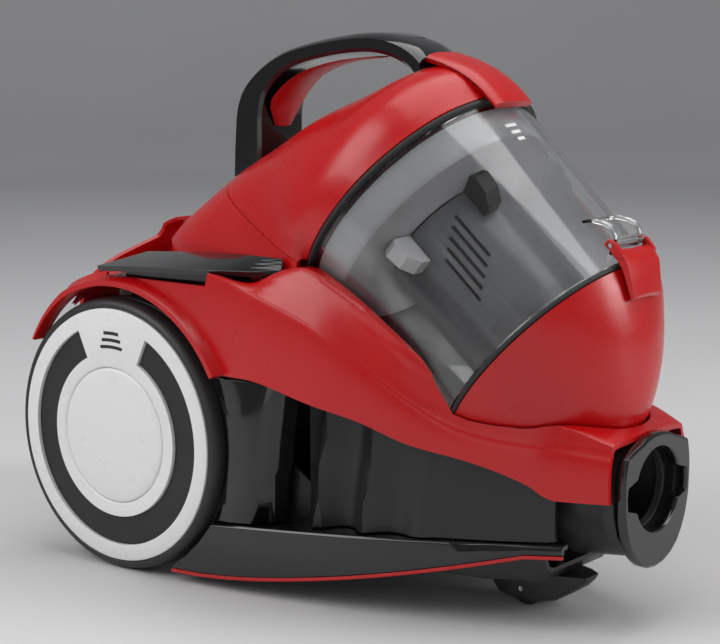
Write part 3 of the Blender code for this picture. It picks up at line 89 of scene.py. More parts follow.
FENDER_OVERHANG = 8.5
TYRE_CLEARANCE = 3.5
BODY_HALF = TRACK_HALF - FENDER_OVERHANG
TUB_HALF = TRACK_HALF - TYRE_WIDTH - TYRE_CLEARANCE
DECK_Z = 104.0
SEAM_ANGLE = 158.5
HOOD_PIVOT_ANGLE = 164.8
HANDLE_HALF = 21.0
RIGHT = -1
LEFT = 1
SIDES = (("right", RIGHT), ("left", LEFT))
ARCH_RADIUS = WHEEL_RADIUS + ARCH_CLEARANCE
SHIFT_X = (WHEEL_RADIUS - PORT_FACE_X) / 2
TILT = math.radians(BIN_TILT)
AXIS = Vector((math.cos(TILT), 0, -math.sin(TILT)))
UP = Vector((math.sin(TILT), 0, math.cos(TILT)))
MOUTH = Vector((BIN_MOUTH_X, 0, BIN_MOUTH_Z))
BIN_FOOT = BIN_RADIUS - BIN_TAPER
CUP_START = BIN_LENGTH + 3.1
LID_RADIUS = BIN_RADIUS + 3.0
LID_CENTRE = MOUTH - AXIS * (RING_DEPTH + GAP)
PIVOT_SLOPE = math.tan(math.radians(180 - HOOD_PIVOT_ANGLE))
DECK_ROOF_Z = 147.0
RIM_SLOPE = UP.z / UP.x
PIVOT_X = (DECK_ROOF_Z - LID_CENTRE.z + RIM_SLOPE * LID_CENTRE.x) / (RIM_SLOPE + PIVOT_SLOPE)
PIVOT_Z = DECK_ROOF_Z - PIVOT_SLOPE * PIVOT_X
RIM_ANGLE = 90 - BIN_TILT
ROOF = [(171, 224.5), (135, 210.5), (97, 196), (61, 177), (29, 160), (0, 141), (-25, 123), (-44, 104),
    (-46, 96)]
PLAN = [(-58, 0.0), (-40, 0.0), (60, 1.0), (100, 1.0), (150, -2.5), (182, -9.0), (210, -17.5), (234, -27),
    (254, -36)]
PLAN_FRONT = [(280, 10.0), (312, 1.5)]
LOWER_EDGE = [(-58, 45), (99, 45.8), (148, 36), (176, 30), (207, 19), (234, 13), (249, 8.5), (269, 0),
    (280, -7), (314, -6)]
CREASE = [(-58, 66), (-40, 84), (-12, 96), (20, 101), (63, 107), (110, 95.5), (153, 80), (177, 64.5),
    (213, 41),
          (236, 30), (260, 25), (285, 22.5), (314, 20)]
SHOULDER = [(-58, 84), (-40, 95), (-12, 99), (60, 100), (96, 101), (116, 109), (132, 112), (160, 101),
    (199, 77), (239, 50), (260, 38),
            (290, 33), (314, 25)]
SHOULDER_HALF = [(-58, 62), (0, 66), (100, 80), (140, 78), (199, 76), (239, 64), (270, 50), (314, 34)]
SHELL_NORMALS = [(1, 0), (1, 0), (0.95, 0.3), (0.8, 0.6), (0.6, 0.8), (0.5, 0.87), (0.3, 0.95), (0, 1),
    (0, 1)]
HANDLE_LINE = [(34, 154), (35, 176), (37, 198), (46, 213), (66, 226.5), (97, 234), (128, 237), (150, 233.5),
               (165, 225), (170, 214)]
HANDLE_THICK = [22, 22, 20, 15, 11, 10, 10, 10, 10, 10]


# ---------------------------------------------------------------- shapes

def build(name, points, faces, look, smooth_angle=35.0):
    """One closed mesh in axle coordinates, its faces turned outward."""
    mesh = bpy.data.meshes.new(name)
    mesh.from_pydata([tuple(Vector(p) * MM) for p in points], [], faces)
    work = bmesh.new()
    work.from_mesh(mesh)
    bmesh.ops.remove_doubles(work, verts=work.verts, dist=1e-6)
    bmesh.ops.recalc_face_normals(work, faces=work.faces)
    if work.calc_volume(signed=True) < 0:
        bmesh.ops.reverse_faces(work, faces=work.faces)
    work.to_mesh(mesh)
    work.free()
    obj = bpy.data.objects.new(name, mesh)
    bpy.context.scene.collection.objects.link(obj)
    if look:
        mesh.materials.append(look)
    smooth(obj, smooth_angle)
    return obj


def smooth(obj, angle=35.0):
    obj.data.shade_smooth()
    obj.data.set_sharp_from_angle(angle=math.radians(angle))


def loft(name, sections, look, angle=35.0):
    """A solid through closed loops that all have the same number of points."""
    count = len(sections[0])
    points = [p for section in sections for p in section]
    faces = []
    for row in range(len(sections) - 1):
        for i in range(count):
            j = (i + 1) % count
            base = row * count
            faces.append((base + i, base + j, base + count + j, base + count + i))
    faces.append(tuple(range(count)))
    last = (len(sections) - 1) * count
    faces.append(tuple(last + i for i in reversed(range(count))))
    return build(name, points, faces, look, angle)


def band(name, outer, inner, look, angle=35.0):
    """A shell between two open surfaces given as matching rows of points."""
    rows = len(outer)
    count = len(outer[0])
    points = [p for row in outer for p in row] + [p for row in inner for p in row]
    shift = rows * count
    faces = []
    for r in range(rows - 1):
        for i in range(count - 1):
            a = r * count + i
            faces.append((a, a + 1, a + count + 1, a + count))
            faces.append((shift + a, shift + a + count, shift + a + count + 1, shift + a + 1))
    for r in range(rows - 1):
        for i in (0, count - 1):
            a = r * count + i
            faces.append((a, a + count, shift + a + count, shift + a))
    for i in range(count - 1):
        for r in (0, rows - 1):
            a = r * count + i
            faces.append((a, a + 1, shift + a + 1, shift + a))
    return build(name, points, faces, look, angle)


def lathe(name, profile, frame, look, steps=40, ring=True, angle=35.0):
    """Turns (radius, height) points round the local Z of frame. A ring's profile closes on itself."""
    points = []
    rows = []
    for radius, height in profile:
        if radius < 1e-6:
            rows.append([len(points)] * steps)
            points.append(frame @ Vector((0, 0, height)))
            continue
        row = []
        for k in range(steps):
            turn = 2 * math.pi * k / steps
            row.append(len(points))
            points.append(frame @ Vector((radius * math.cos(turn), radius * math.sin(turn), height)))
        rows.append(row)
    faces = []
    spans = len(rows) if ring else len(rows) - 1
    for r in range(spans):
        low = rows[r]
        high = rows[(r + 1) % len(rows)]
        for k in range(steps):
            m = (k + 1) % steps
            corners = []
            for corner in (low[k], low[m], high[m], high[k]):
                if corner not in corners:
                    corners.append(corner)
            faces.append(tuple(corners))
    return build(name, points, faces, look, angle)


def box(name, low, high, look):
    points = [(x, y, z) for x in (low[0], high[0]) for y in (low[1], high[1]) for z in (low[2], high[2])]
    faces = [(0, 1, 3, 2), (4, 6, 7, 5), (0, 4, 5, 1), (2, 3, 7, 6), (0, 2, 6, 4), (1, 5, 7, 3)]
    return build(name, points, faces, look)


def prism(name, outline, low, high, look, angle=35.0):
    """Straight walls over an outline of (x, y) points, between two heights."""
    return loft(name, [[(x, y, z) for x, y in outline] for z in (low, high)], look, angle)


def bake(obj):
    graph = bpy.context.evaluated_depsgraph_get()
    mesh = bpy.data.meshes.new_from_object(obj.evaluated_get(graph))
    obj.modifiers.clear()
    obj.data = mesh
    smooth(obj)


def combine(obj, other, operation="DIFFERENCE", solver="EXACT"):
    """Applies a Boolean and drops its second operand."""
    change = obj.modifiers.new(operation.lower(), "BOOLEAN")
    change.operation = operation
    change.solver = solver
    change.object = other
    bpy.context.view_layer.update()
    bake(obj)
    bpy.data.objects.remove(other, do_unlink=True)
    tidy(obj)
    return obj


def tidy(obj):
    """Welds the slivers that a cut leaves behind."""
    work = bmesh.new()
    work.from_mesh(obj.data)
    bmesh.ops.remove_doubles(work, verts=work.verts, dist=0.000003)
    bmesh.ops.dissolve_degenerate(work, edges=work.edges, dist=0.000003)
    work.to_mesh(obj.data)
    work.free()
    smooth(obj)


def spline(points, count):
    """Evenly shared points on a smooth curve through a few given ones."""
    path = [Vector(p) for p in points]
    path = [path[0] * 2 - path[1], *path, path[-1] * 2 - path[-2]]
    spans = len(path) - 3
    found = []
    for k in range(count):
        place = spans * k / (count - 1)
        i = min(int(place), spans - 1)
        t = place - i
        a, b, c, d = path[i:i + 4]
        found.append(
            0.5 * (2 * b + (c - a) * t + (2 * a - 5 * b + 4 * c - d) * t * t
                + (3 * b - a - 3 * c + d) * t ** 3)
        )
    return found


def curve(points, x):
    """The height at x of a smooth monotone curve through (x, height) points."""
    if x <= points[0][0]:
        return points[0][1]
    if x >= points[-1][0]:
        return points[-1][1]
    i = max(k for k in range(len(points) - 1) if points[k][0] <= x)
    slopes = [(q[1] - p[1]) / (q[0] - p[0]) for p, q in zip(points, points[1:])]

    def tangent(k):
        if k == 0:
            return slopes[0]
        if k == len(slopes):
            return slopes[-1]
        before, after = slopes[k - 1], slopes[k]
        return 0.0 if before * after <= 0 else 2 * before * after / (before + after)

    (x0, y0), (x1, y1) = points[i], points[i + 1]
    span = x1 - x0
    t = (x - x0) / span
    return (
        y0 * (1 + 2 * t) * (1 - t) ** 2
        + y1 * t * t * (3 - 2 * t)
        + span * (tangent(i) * t * (1 - t) ** 2 - tangent(i + 1) * t * t * (1 - t))
    )


def bin_frame(depth=0.0):
    """Local Z runs down the bin, local X points away from the floor."""
    place = MOUTH + AXIS * depth
    side = Vector((0, -1, 0))
    return Matrix((
        (UP.x, side.x, AXIS.x, place.x),
        (UP.y, side.y, AXIS.y, place.y),
        (UP.z, side.z, AXIS.z, place.z),
        (0, 0, 0, 1),
    ))


def wheel_frame(side, x=0.0, z=0.0):
    """Local Z runs outward from the machine's middle along y."""
    return Matrix((
        (1, 0, 0, x),
        (0, 0, side, 0),
        (0, 1, 0, z),
        (0, 0, 0, 1),
    ))


def wheel_outer():
    """Distance of the tyre's outer face from the middle plane."""
    return TRACK_HALF


def bin_radius(depth):
    return BIN_RADIUS - BIN_TAPER * max(depth, 0.0) / BIN_LENGTH


def cup_profile(offset=0.0):
    """(radius, depth) down the outside of the flap, from its rim to its nose."""
    rim = BIN_FOOT + 1.3
    shape = [(rim - 1.2, 0), (rim - 5.5, 8), (rim - 13, 18), (rim - 23, 30), (rim - 34, 41), (rim - 46, 51)]
    shape += [(rim - 58, 58.5), (rim - 67, 61.4)]
    scale = CUP_DEPTH / 62.0
    return [(r + offset, CUP_START + d * scale + offset * (d / 62.0)) for r, d in shape]


def container_cutter():
    """Bin, gasket and flap with the running clearance."""
    grow = CRADLE_CLEARANCE
    cup = cup_profile(grow)
    profile = [(0, -RING_DEPTH - grow), (LID_RADIUS + grow, -RING_DEPTH - grow), (LID_RADIUS + grow, grow)]
    profile += [(bin_radius(0) + grow, grow + 0.2), (bin_radius(BIN_LENGTH) + grow, BIN_LENGTH - 1)]
    profile += cup + [(0, cup[-1][1] + 0.4)]
    return lathe("container_cutter", profile, bin_frame(), None, 120, ring=False)


def lift_cutter():
    """The space above the gasket's rear edge, which the container sweeps as it lifts straight up."""
    radius = LID_RADIUS + CRADLE_CLEARANCE + 0.6
    frame = bin_frame(-RING_DEPTH / 2)
    low = []
    for k in range(17):
        turn = math.radians(180 - 72 + 144 * k / 16)
        low.append(frame @ Vector((radius * math.cos(turn), radius * math.sin(turn), 0)))
    high = [p + Vector((0, 0, 70)) for p in low]
    return loft("lift_cutter", [low, high], None)


def roof_distance(angle):
    """How far the roof line lies from the pivot line in this direction."""
    turn = math.radians(angle)
    ray = Vector((math.cos(turn), math.sin(turn)))
    rim = Vector((LID_CENTRE.x + UP.x * LID_RADIUS, LID_CENTRE.z + UP.z * LID_RADIUS))
    knee = Vector((194, 222.5))
    line = [rim + (rim - knee) * 0.3] + spline([tuple(rim), tuple(knee), *ROOF], 90)
    pivot = Vector((PIVOT_X, PIVOT_Z))
    best = 0.0
    for a, b in zip(line, line[1:]):
        edge = b - a
        cross = ray.x * edge.y - ray.y * edge.x
        if abs(cross) < 1e-9:
            continue
        start = a - pivot
        along = (start.x * edge.y - start.y * edge.x) / cross
        share = (start.x * ray.y - start.y * ray.x) / cross
        if -1e-6 <= share <= 1 + 1e-6:
            best = max(best, along)
    return best


def hood_arch(angle, offset, count):
    """One arch of the hood in the half plane that leaves the pivot line at this angle."""
    reach = (LID_CENTRE - Vector((PIVOT_X, 0, PIVOT_Z))).length
    widest = math.acos(max(-1.0, min(1.0, (2.5 - reach) / LID_RADIUS)))
    full = roof_distance(180)
    half = LID_RADIUS - 6.5
    rear = spline([(half, 2.5), (half - 2.5, 24), (half - 11, 60), (half - 19, 90), (half - 30, full - 40),
                   (half - 43, full - 19), (half - 60, full - 5), (0, full)], count // 2 + 1)
    share = max(0.0, min(1.0, (angle - RIM_ANGLE) / (180 - RIM_ANGLE)))
    share = share * share * (3 - 2 * share)
    crest = roof_distance(angle)
    arch = []
    for k in range(count + 1):
        t = 2 * k / count - 1
        turn = widest * t
        rim_y = LID_RADIUS * math.sin(turn)
        rim_r = reach + LID_RADIUS * math.cos(turn)
        place = rear[min(k, count - k)]
        rear_y = math.copysign(place.x, t) if k * 2 != count else 0.0
        y = rim_y * (1 - share) + rear_y * share
        r = rim_r * (1 - share) + place.y * share
        top = (reach + LID_RADIUS) * (1 - share) + full * share
        r = 2.5 + (r - 2.5) * (crest - 2.5) / (top - 2.5)
        arch.append(Vector((y, r)))
    if offset:
        arch = offset_line(arch, offset)
    turn = math.radians(angle)
    return [(PIVOT_X + p.y * math.cos(turn), p.x, PIVOT_Z + p.y * math.sin(turn)) for p in arch]


def offset_line(line, distance):
    """Moves each point of an open line along its normal, to the left of its run."""
    moved = []
    for k, p in enumerate(line):
        before = line[max(k - 1, 0)]
        after = line[min(k + 1, len(line) - 1)]
        run = (after - before).normalized()
        moved.append(p + Vector((-run.y, run.x)) * distance)
    return moved


def hood_cutter(grow):
    """Everything under the lid's outer skin, a little proud of it."""
    step = (SEAM_ANGLE - RIM_ANGLE) / LID_ROWS
    outer = [hood_arch(RIM_ANGLE + step * k, grow, LID_COLUMNS) for k in range(-1, LID_ROWS + 1)]
    inner = [[(PIVOT_X + (x - PIVOT_X) * 0.05, y * 0.9, PIVOT_Z + (z - PIVOT_Z) * 0.05) for x, y, z in row]
             for row in outer]
    return band("hood_cutter", outer, inner, None)


def side_half(x):
    """Half width of the red body at this station."""
    points = [(px, BODY_HALF + dy) for px, dy in PLAN]
    port_half = PORT_BORE / 2 + 16.0
    points += [(px, port_half + dy) for px, dy in PLAN_FRONT]
    return curve(points, x)


def shell_section(x, inset):
    """Half section, from the lower edge up the side, over the shoulder and in to the middle."""
    wall = side_half(x)
    low = curve(LOWER_EDGE, x)
    crease = curve(CREASE, x)
    shoulder = curve(SHOULDER, x)
    inner = min(curve(SHOULDER_HALF, x), wall - 6)
    ease = min(4.0, (crease - low) * 0.2)
    outer = [
        Vector((wall, low)), Vector((wall + 0.6, low + (crease - low) * 0.5)),
        Vector((wall - 0.2, crease - ease)),
        Vector((wall - 1.6, crease - ease * 0.2)),
        Vector((wall - 1.6 + (inner - wall + 1.6) * 0.18, crease + (shoulder - crease) * 0.22)),
        Vector(((wall + inner) / 2, crease + (shoulder - crease) * 0.58)), Vector((inner, shoulder)),
        Vector((inner * 0.5, min(shoulder, 101.0) + 1.0)),
        Vector((0, min(shoulder, 101.0) + 1.5)),
    ]
    if inset:
        outer = [p - Vector(n) * inset for p, n in zip(outer, SHELL_NORMALS)]
        outer[0].y = low
        outer[-1].x = 0.0
    return outer


def fender(side):
    """Flared lip round the wheel arch."""
    rows_out = []
    rows_in = []
    steps = 56
    frame = wheel_frame(side)
    for k in range(steps + 1):
        degrees = 29 + (144 - 29) * k / steps
        turn = math.radians(degrees)
        fade = max(0.0, (degrees - 118) / 26)
        inner = ARCH_RADIUS - 4.0 * fade
        outer = inner + FENDER_THICKNESS - 1.8 * fade
        flare = 4.5 * (1 - fade)
        outside = [(outer + flare, TRACK_HALF - 11), (outer + flare * 0.4, TRACK_HALF - 7),
            (outer, TRACK_HALF - 1),
                   (outer - 0.6, TRACK_HALF)]
        inside = [(inner, TRACK_HALF - 11), (inner, TRACK_HALF - 7), (inner, TRACK_HALF - 1),
            (inner + 0.4, TRACK_HALF)]
        rows_out.append([frame @ Vector((r * math.cos(turn), r * math.sin(turn), h)) for r, h in outside])
        rows_in.append([frame @ Vector((r * math.cos(turn), r * math.sin(turn), h)) for r, h in inside])
    return band(f"fender_{side}", rows_out, rows_in, None)


def arch_cutter(side):
    radius = ARCH_RADIUS + FENDER_THICKNESS / 2
    profile = [(0, TUB_HALF + 2.5), (radius, TUB_HALF + 2.5), (radius, TRACK_HALF + 8), (0, TRACK_HALF + 8)]
    return lathe("arch_cutter", profile, wheel_frame(side), None, 144, ring=False)


def pedal_edges(x):
    """Outer and inner edge of the foot plate at this station."""
    grow = BODY_HALF - 97.0
    outer = curve([(-12, 105.0), (61, 101.0), (90, 91.0), (116, 82.4)], x) + grow
    inner = curve([(-12, 61.5), (10, 63.5), (40, 66.5), (65, 70.0), (86, 75.0), (104, 78.6), (116, 80.2)],
        x) + grow
    return outer, inner


def pedal_outline(side, shrink, tower_gap):
    """Plan of the foot plate, drawn in by shrink at its free edges."""
    stations = [-12 + shrink, 20, 61, 90 - shrink * 0.8, 116 - shrink * 2.2]
    outer = [(x, pedal_edges(x)[0] - shrink) for x in stations]
    inner = [(x, min(pedal_edges(x)[1] + tower_gap,
        pedal_edges(x)[0] - shrink - 0.5)) for x in reversed(stations)]
    return [(x, side * y) for x, y in outer + inner]


def tower_cutter():
    """Room for the foot of the tower."""
    foot = [(x, y) for x, y, _ in hood_arch(179.6, 0.6, LID_COLUMNS)]
    foot = [(foot[0][0] + 4, foot[0][1]), *foot, (foot[-1][0] + 4, foot[-1][1])]
    return prism("tower_cutter", foot, DECK_Z - 0.2, DECK_Z + 30, None)


def strap(name, line, thick, half, look, count, crown=1.2):
    """A flat bar swept along a line in the middle plane, with eased edges."""
    path = spline([(x, z, t) for (x, z), t in zip(line, thick)], count)
    sections = []
    for k, p in enumerate(path):
        run = Vector((path[min(k + 1, count - 1)] - path[max(k - 1, 0)])[:2]).normalized()
        side = Vector((-run.y, run.x))
        high = p.z / 2
        loop = [(-half, -high + 2), (-half + 2, -high), (half - 2, -high), (half, -high + 2),
            (half, high - 2),
                (half - 2.5, high - 0.4), (half * 0.5, high + crown), (-half * 0.5, high + crown),
                (-half + 2.5, high - 0.4),
                (-half, high - 2)]
        sections.append([(p.x + side.x * h, y, p.y + side.y * h) for y, h in loop])
    return loft(name, sections, look, 40)


# ---------------------------------------------------------------- materials

def new_material(name):
    made = bpy.data.materials.new(name)
    made.use_nodes = True
    tree = made.node_tree
    return made, tree, tree.nodes["Principled BSDF"]


def noise(tree, scale, detail=3.0, stretch=(1, 1, 1)):
    """Noise in the piece's own metres."""
    coords = tree.nodes.new("ShaderNodeTexCoord")
    mapping = tree.nodes.new("ShaderNodeMapping")
    mapping.inputs["Scale"].default_value = stretch
    made = tree.nodes.new("ShaderNodeTexNoise")
    made.inputs["Scale"].default_value = scale
    made.inputs["Detail"].default_value = detail
    tree.links.new(coords.outputs["Object"], mapping.inputs["Vector"])
    tree.links.new(mapping.outputs["Vector"], made.inputs["Vector"])
    return made.outputs["Fac"]


def mapped(tree, source, low, high):
    made = tree.nodes.new("ShaderNodeMapRange")
    made.inputs["From Min"].default_value = 0.3
    made.inputs["From Max"].default_value = 0.7
    made.inputs["To Min"].default_value = low
    made.inputs["To Max"].default_value = high
    tree.links.new(source, made.inputs["Value"])
    return made.outputs["Result"]


def varied(tree, source, first, second):
    """A colour that wanders between two close tones."""
    made = tree.nodes.new("ShaderNodeMix")
    made.data_type = "RGBA"
    tree.links.new(mapped(tree, source, 0.0, 1.0), made.inputs["Factor"])
    made.inputs[6].default_value = (*first, 1)
    made.inputs[7].default_value = (*second, 1)
    return made.outputs[2]


def bumped(tree, shader, source, strength, distance):
    made = tree.nodes.new("ShaderNodeBump")
    made.inputs["Strength"].default_value = strength
    made.inputs["Distance"].default_value = distance
    tree.links.new(source, made.inputs["Height"])
    tree.links.new(made.outputs["Normal"], shader.inputs["Normal"])


def plastic(name, colour, rough, grain=2600.0, bump=0.12, spread=0.05, coat=0.0, tint=0.12, metallic=0.0,
            stretch=(1, 1, 1), specular=0.5):
    """Moulded plastic with a spark-eroded grain, handling haze and a faint tone shift."""
    made, tree, shader = new_material(name)
    wander = noise(tree, 14.0, 4.0)
    haze = noise(tree, 55.0, 5.0)
    fine = noise(tree, grain, 2.0, stretch)
    darker = tuple(c * (1 - tint) for c in colour)
    lighter = tuple(min(1.0, c * (1 + tint)) for c in colour)
    tree.links.new(varied(tree, wander, darker, lighter), shader.inputs["Base Color"])
    tree.links.new(mapped(tree, haze, rough - spread, rough + spread), shader.inputs["Roughness"])
    bumped(tree, shader, fine, bump, 0.00012)
    shader.inputs["Metallic"].default_value = metallic
    shader.inputs["Coat Weight"].default_value = coat
    shader.inputs["Coat Roughness"].default_value = 0.12
    shader.inputs["Specular IOR Level"].default_value = specular
    return made


def see_through(name, colour, rough, ior=1.46, clarity=1.0, tint=0.02):
    """Clear moulded plastic with faint flow marks."""
    made, tree, shader = new_material(name)
    haze = noise(tree, 40.0, 4.0)
    flow = noise(tree, 26.0, 2.0, (1, 1, 3))
    darker = tuple(c * (1 - tint) for c in colour)
    tree.links.new(varied(tree, haze, darker, colour), shader.inputs["Base Color"])
    tree.links.new(mapped(tree, haze, max(0.0, rough - 0.01), rough + 0.02), shader.inputs["Roughness"])
    bumped(tree, shader, flow, 0.04, 0.0004)
    shader.inputs["Transmission Weight"].default_value = clarity
    shader.inputs["IOR"].default_value = ior
    return made


LOOKS = {
    "red_body": plastic("red_satin", (0.50, 0.002, 0.003), 0.30, bump=0.04, coat=0.10, tint=0.04),
    "black_body": plastic("black_grained", (0.012, 0.012, 0.013), 0.40, grain=2000.0, bump=0.35),
    "black_gloss": plastic("black_polished", (0.006, 0.006, 0.007), 0.10, bump=0.02, spread=0.03, coat=0.4),
    "white_trim": plastic("white_satin", (0.80, 0.80, 0.80), 0.30, bump=0.05, tint=0.02),
    "charcoal_ring": plastic("charcoal", (0.014, 0.014, 0.014), 0.50, bump=0.30),
    "clear": see_through("clear_wall", (0.97, 0.98, 0.985), 0.015),
    "smoke": see_through("smoked_wall", (0.52, 0.53, 0.54), 0.16, clarity=0.72),
    # Milky pale wall for the separator funnel: its pale, half-clear tint is partly a painted reflection of
    # studio light on the clear bin, over a real funnel part.
    "pale": see_through("pale_wall_painted_reflection", (0.86, 0.87, 0.88), 0.22, clarity=0.45),
    "dark": plastic("dark_grey", (0.045, 0.045, 0.05), 0.38),
    "seal": plastic("seal_rubber", (0.016, 0.016, 0.016), 0.62, grain=1500.0, bump=0.4),
    "tyre": plastic("tyre_rubber", (0.020, 0.020, 0.021), 0.48, grain=1300.0, bump=0.45),
    "soft_red": plastic("soft_red_pad", (0.44, 0.003, 0.004), 0.46, grain=1800.0, bump=0.35),
    "steel": plastic("turned_steel", (0.56, 0.56, 0.57), 0.26, metallic=1.0, grain=700.0,
        stretch=(1, 1, 12)),
    "paper": plastic("filter_paper", (0.78, 0.76, 0.68), 0.88, grain=900.0, bump=0.6, tint=0.06),
    "board": plastic("laminate_green", (0.02, 0.16, 0.06), 0.42, grain=600.0),
}


# ---------------------------------------------------------------- placing

TO_ROW = Matrix.Translation((SHIFT_X * MM, 0, WHEEL_RADIUS * MM))


def place(obj, body, slot, nodes=(), moved=True):
    """Puts a finished piece in the row frame on its body, in the slot's finish."""
    if moved:
        obj.data.transform(TO_ROW)
    obj.data.materials.clear()
    obj.data.materials.append(LOOKS[slot])
    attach(obj, body)
    if nodes:
        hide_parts(*nodes)
    return obj


def round_edges(obj, width, segments=2, angle=38.0):
    """Live bevel on the sharp edges, in millimetres."""
    change = obj.modifiers.new("edges", "BEVEL")
    change.width = width * MM
    change.segments = segments
    change.limit_method = "ANGLE"
    change.angle_limit = math.radians(angle)
    change.use_clamp_overlap = False
    change.harden_normals = True
    return obj


BODY_OF = {node: obj["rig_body"] for node, obj in frame["nodes"].items()}
SLOT_OF = {entry["node"]: entry["material_slot"] for entry in frame["record"]["subparts"]}


def dress(node, edge=0.0, angle=35.0):
    """A merged copy of a CAD node with smooth shading and eased edges."""
    mesh = frame["nodes"][node].data.copy()
    obj = bpy.data.objects.new(node + "_skin", mesh)
    bpy.context.scene.collection.objects.link(obj)
    work = bmesh.new()
    work.from_mesh(mesh)
    bmesh.ops.remove_doubles(work, verts=work.verts, dist=1e-6)
    bmesh.ops.dissolve_limit(work, angle_limit=math.radians(0.4), verts=work.verts, edges=work.edges)
    bmesh.ops.recalc_face_normals(work, faces=work.faces)
    work.to_mesh(mesh)
    work.free()
    for extra in ("custom_normal",):
        if extra in mesh.attributes:
            mesh.attributes.remove(mesh.attributes[extra])
    smooth(obj, angle)
    if edge:
        round_edges(obj, edge)
    return place(obj, BODY_OF[node], SLOT_OF[node], (node,), moved=False)


# ---------------------------------------------------------------- wheels

def tyre_skin(side):
    far = wheel_outer()
    near = far - TYRE_WIDTH
    seat = DISC_RADIUS + GAP
    hub = WHEEL_RADIUS - 13.5
    outer = WHEEL_RADIUS
    profile = [(hub, near), (outer - 2.4, near), (outer - 0.8, near + 0.6), (outer, near + 2.4)]
    for middle in (near + 6.0, near + 11.0):
        profile += [(outer, middle - 0.7), (outer - 0.8, middle - 0.4), (outer - 0.8, middle + 0.4),
            (outer, middle + 0.7)]
    profile += [(outer, far - 6), (outer - 0.4, far - 3.6), (outer - 1.3, far - 1.6),
        (outer - 2.6, far - 0.5),
                (outer - 3.9, far), (seat + 0.6, far), (seat, far - 0.6), (seat, far - 3.2),
                (hub, far - 3.2)]
    return lathe("tyre_skin", profile, wheel_frame(side), None, 128, angle=50)


def disc_skin(side):
    face = wheel_outer() + 0.6
    back = wheel_outer() - 2.9
    profile = [
        (CAP_RADIUS + GAP, back - 3.0), (WHEEL_RADIUS - 14, back - 3.0), (WHEEL_RADIUS - 14, back),
        (DISC_RADIUS, back),
        (DISC_RADIUS, face - 1.2), (DISC_RADIUS - 0.3, face - 0.4), (DISC_RADIUS - 1.1, face),
        (CAP_RADIUS + 1.6, face),
        (CAP_RADIUS + 0.8, face - 0.3), (CAP_RADIUS + GAP, face - 0.9),
    ]
    obj = lathe("disc_skin", profile, wheel_frame(side), None, 128)
    floor = face - 2.4 - 1.6 - GAP
    combine(obj, sector("channel", side, RING_INNER, RING_OUTER, floor, face + 3, 0.0, 72))
    return round_edges(obj, 0.35, 2, 50)


def sector(name, side, inner, outer, low, high, inset, steps):
    """A horseshoe that leaves the bridge at the top of the wheel open."""
    start = math.radians(90 + BRIDGE_HALF_ANGLE) + inset / inner
    sweep = 2 * math.pi - 2 * math.radians(BRIDGE_HALF_ANGLE) - 2 * inset / inner
    turn_frame = wheel_frame(side)
    rings = []
    for k in range(steps + 1):
        turn = start + sweep * k / steps
        rings.append([
            turn_frame @ Vector((r * math.cos(turn), r * math.sin(turn), h))
            for r, h in ((inner + inset, low), (outer - inset, low), (outer - inset, high),
                (inner + inset, high))
        ])
    return loft(name, rings, None)


def cap_skin(side):
    face = wheel_outer() + 0.6
    r = CAP_RADIUS
    profile = [(0, face - 4.2), (r, face - 4.2), (r, face - 0.9), (r - 0.4, face - 0.3),
        (r - 1.4, face + 0.05),
               (r - 3.0, face + 0.35), (r * 0.8, face + 0.85), (r * 0.55, face + 1.25),
               (r * 0.28, face + 1.5), (0, face + 1.6)]
    return lathe("cap_skin", profile, wheel_frame(side), None, 96, ring=False, angle=50)


def wheels():
    for word, side in SIDES:
        body = f"wheel_{word}"
        face = wheel_outer() + 0.6
        place(tyre_skin(side), body, "tyre", (f"tyre_{word}",)).name = f"tyre_{word}_skin"
        place(disc_skin(side), body, "white_trim", (f"wheel_disc_{word}",)).name = f"wheel_disc_{word}_skin"
        ring = sector("ring", side, RING_INNER, RING_OUTER, face - 4.0, face - 2.0, GAP, 72)
        place(round_edges(ring, 0.3), body, "charcoal_ring",
            (f"wheel_ring_{word}",)).name = f"wheel_ring_{word}_skin"
        place(cap_skin(side), body, "white_trim", (f"wheel_cap_{word}",)).name = f"wheel_cap_{word}_skin"
        mark = wheel_mark(side, face)
        place(mark, body, "charcoal_ring").name = f"wheel_mark_{word}"
        dress(f"wheel_hub_{word}", 0.4)
        dress(f"wheel_axle_{word}", 0.2)


def wheel_mark(side, face):
    """Three curved bars on the bridge."""
    bars = []
    for k in range(3):
        low = RING_INNER + 3.2 + 4.2 * k
        reach = 0.17 - 0.035 * k
        rings = []
        for step in range(9):
            turn = math.radians(90) + reach * (2 * step / 8 - 1)
            rings.append([wheel_frame(side) @ Vector((r * math.cos(turn), r * math.sin(turn), h))
                          for r, h in ((low, face - 0.1), (low + 2.0, face - 0.1),
                              (low + 2.0, face + 0.15), (low, face + 0.15))])
        bars.append(loft("bar", rings, None))
    return joined(bars)


def joined(objects):
    """One object from several closed meshes that don't touch."""
    work = bmesh.new()
    for obj in objects:
        work.from_mesh(obj.data)
    mesh = bpy.data.meshes.new("joined")
    work.to_mesh(mesh)
    work.free()
    for obj in objects[1:]:
        bpy.data.objects.remove(obj, do_unlink=True)
    objects[0].data = mesh
    smooth(objects[0])
    return objects[0]


# ---------------------------------------------------------------- hood

LID_ROWS = 34
LID_COLUMNS = 60


def lid_skin():
    angles = [RIM_ANGLE + (SEAM_ANGLE - RIM_ANGLE) * k / LID_ROWS for k in range(LID_ROWS + 1)]
    outer = [hood_arch(a, 0.0, LID_COLUMNS) for a in angles]
    inner = [hood_arch(a, -2.6, LID_COLUMNS) for a in angles]
    return round_edges(band("lid_skin", outer, inner, None, 40), 0.5)


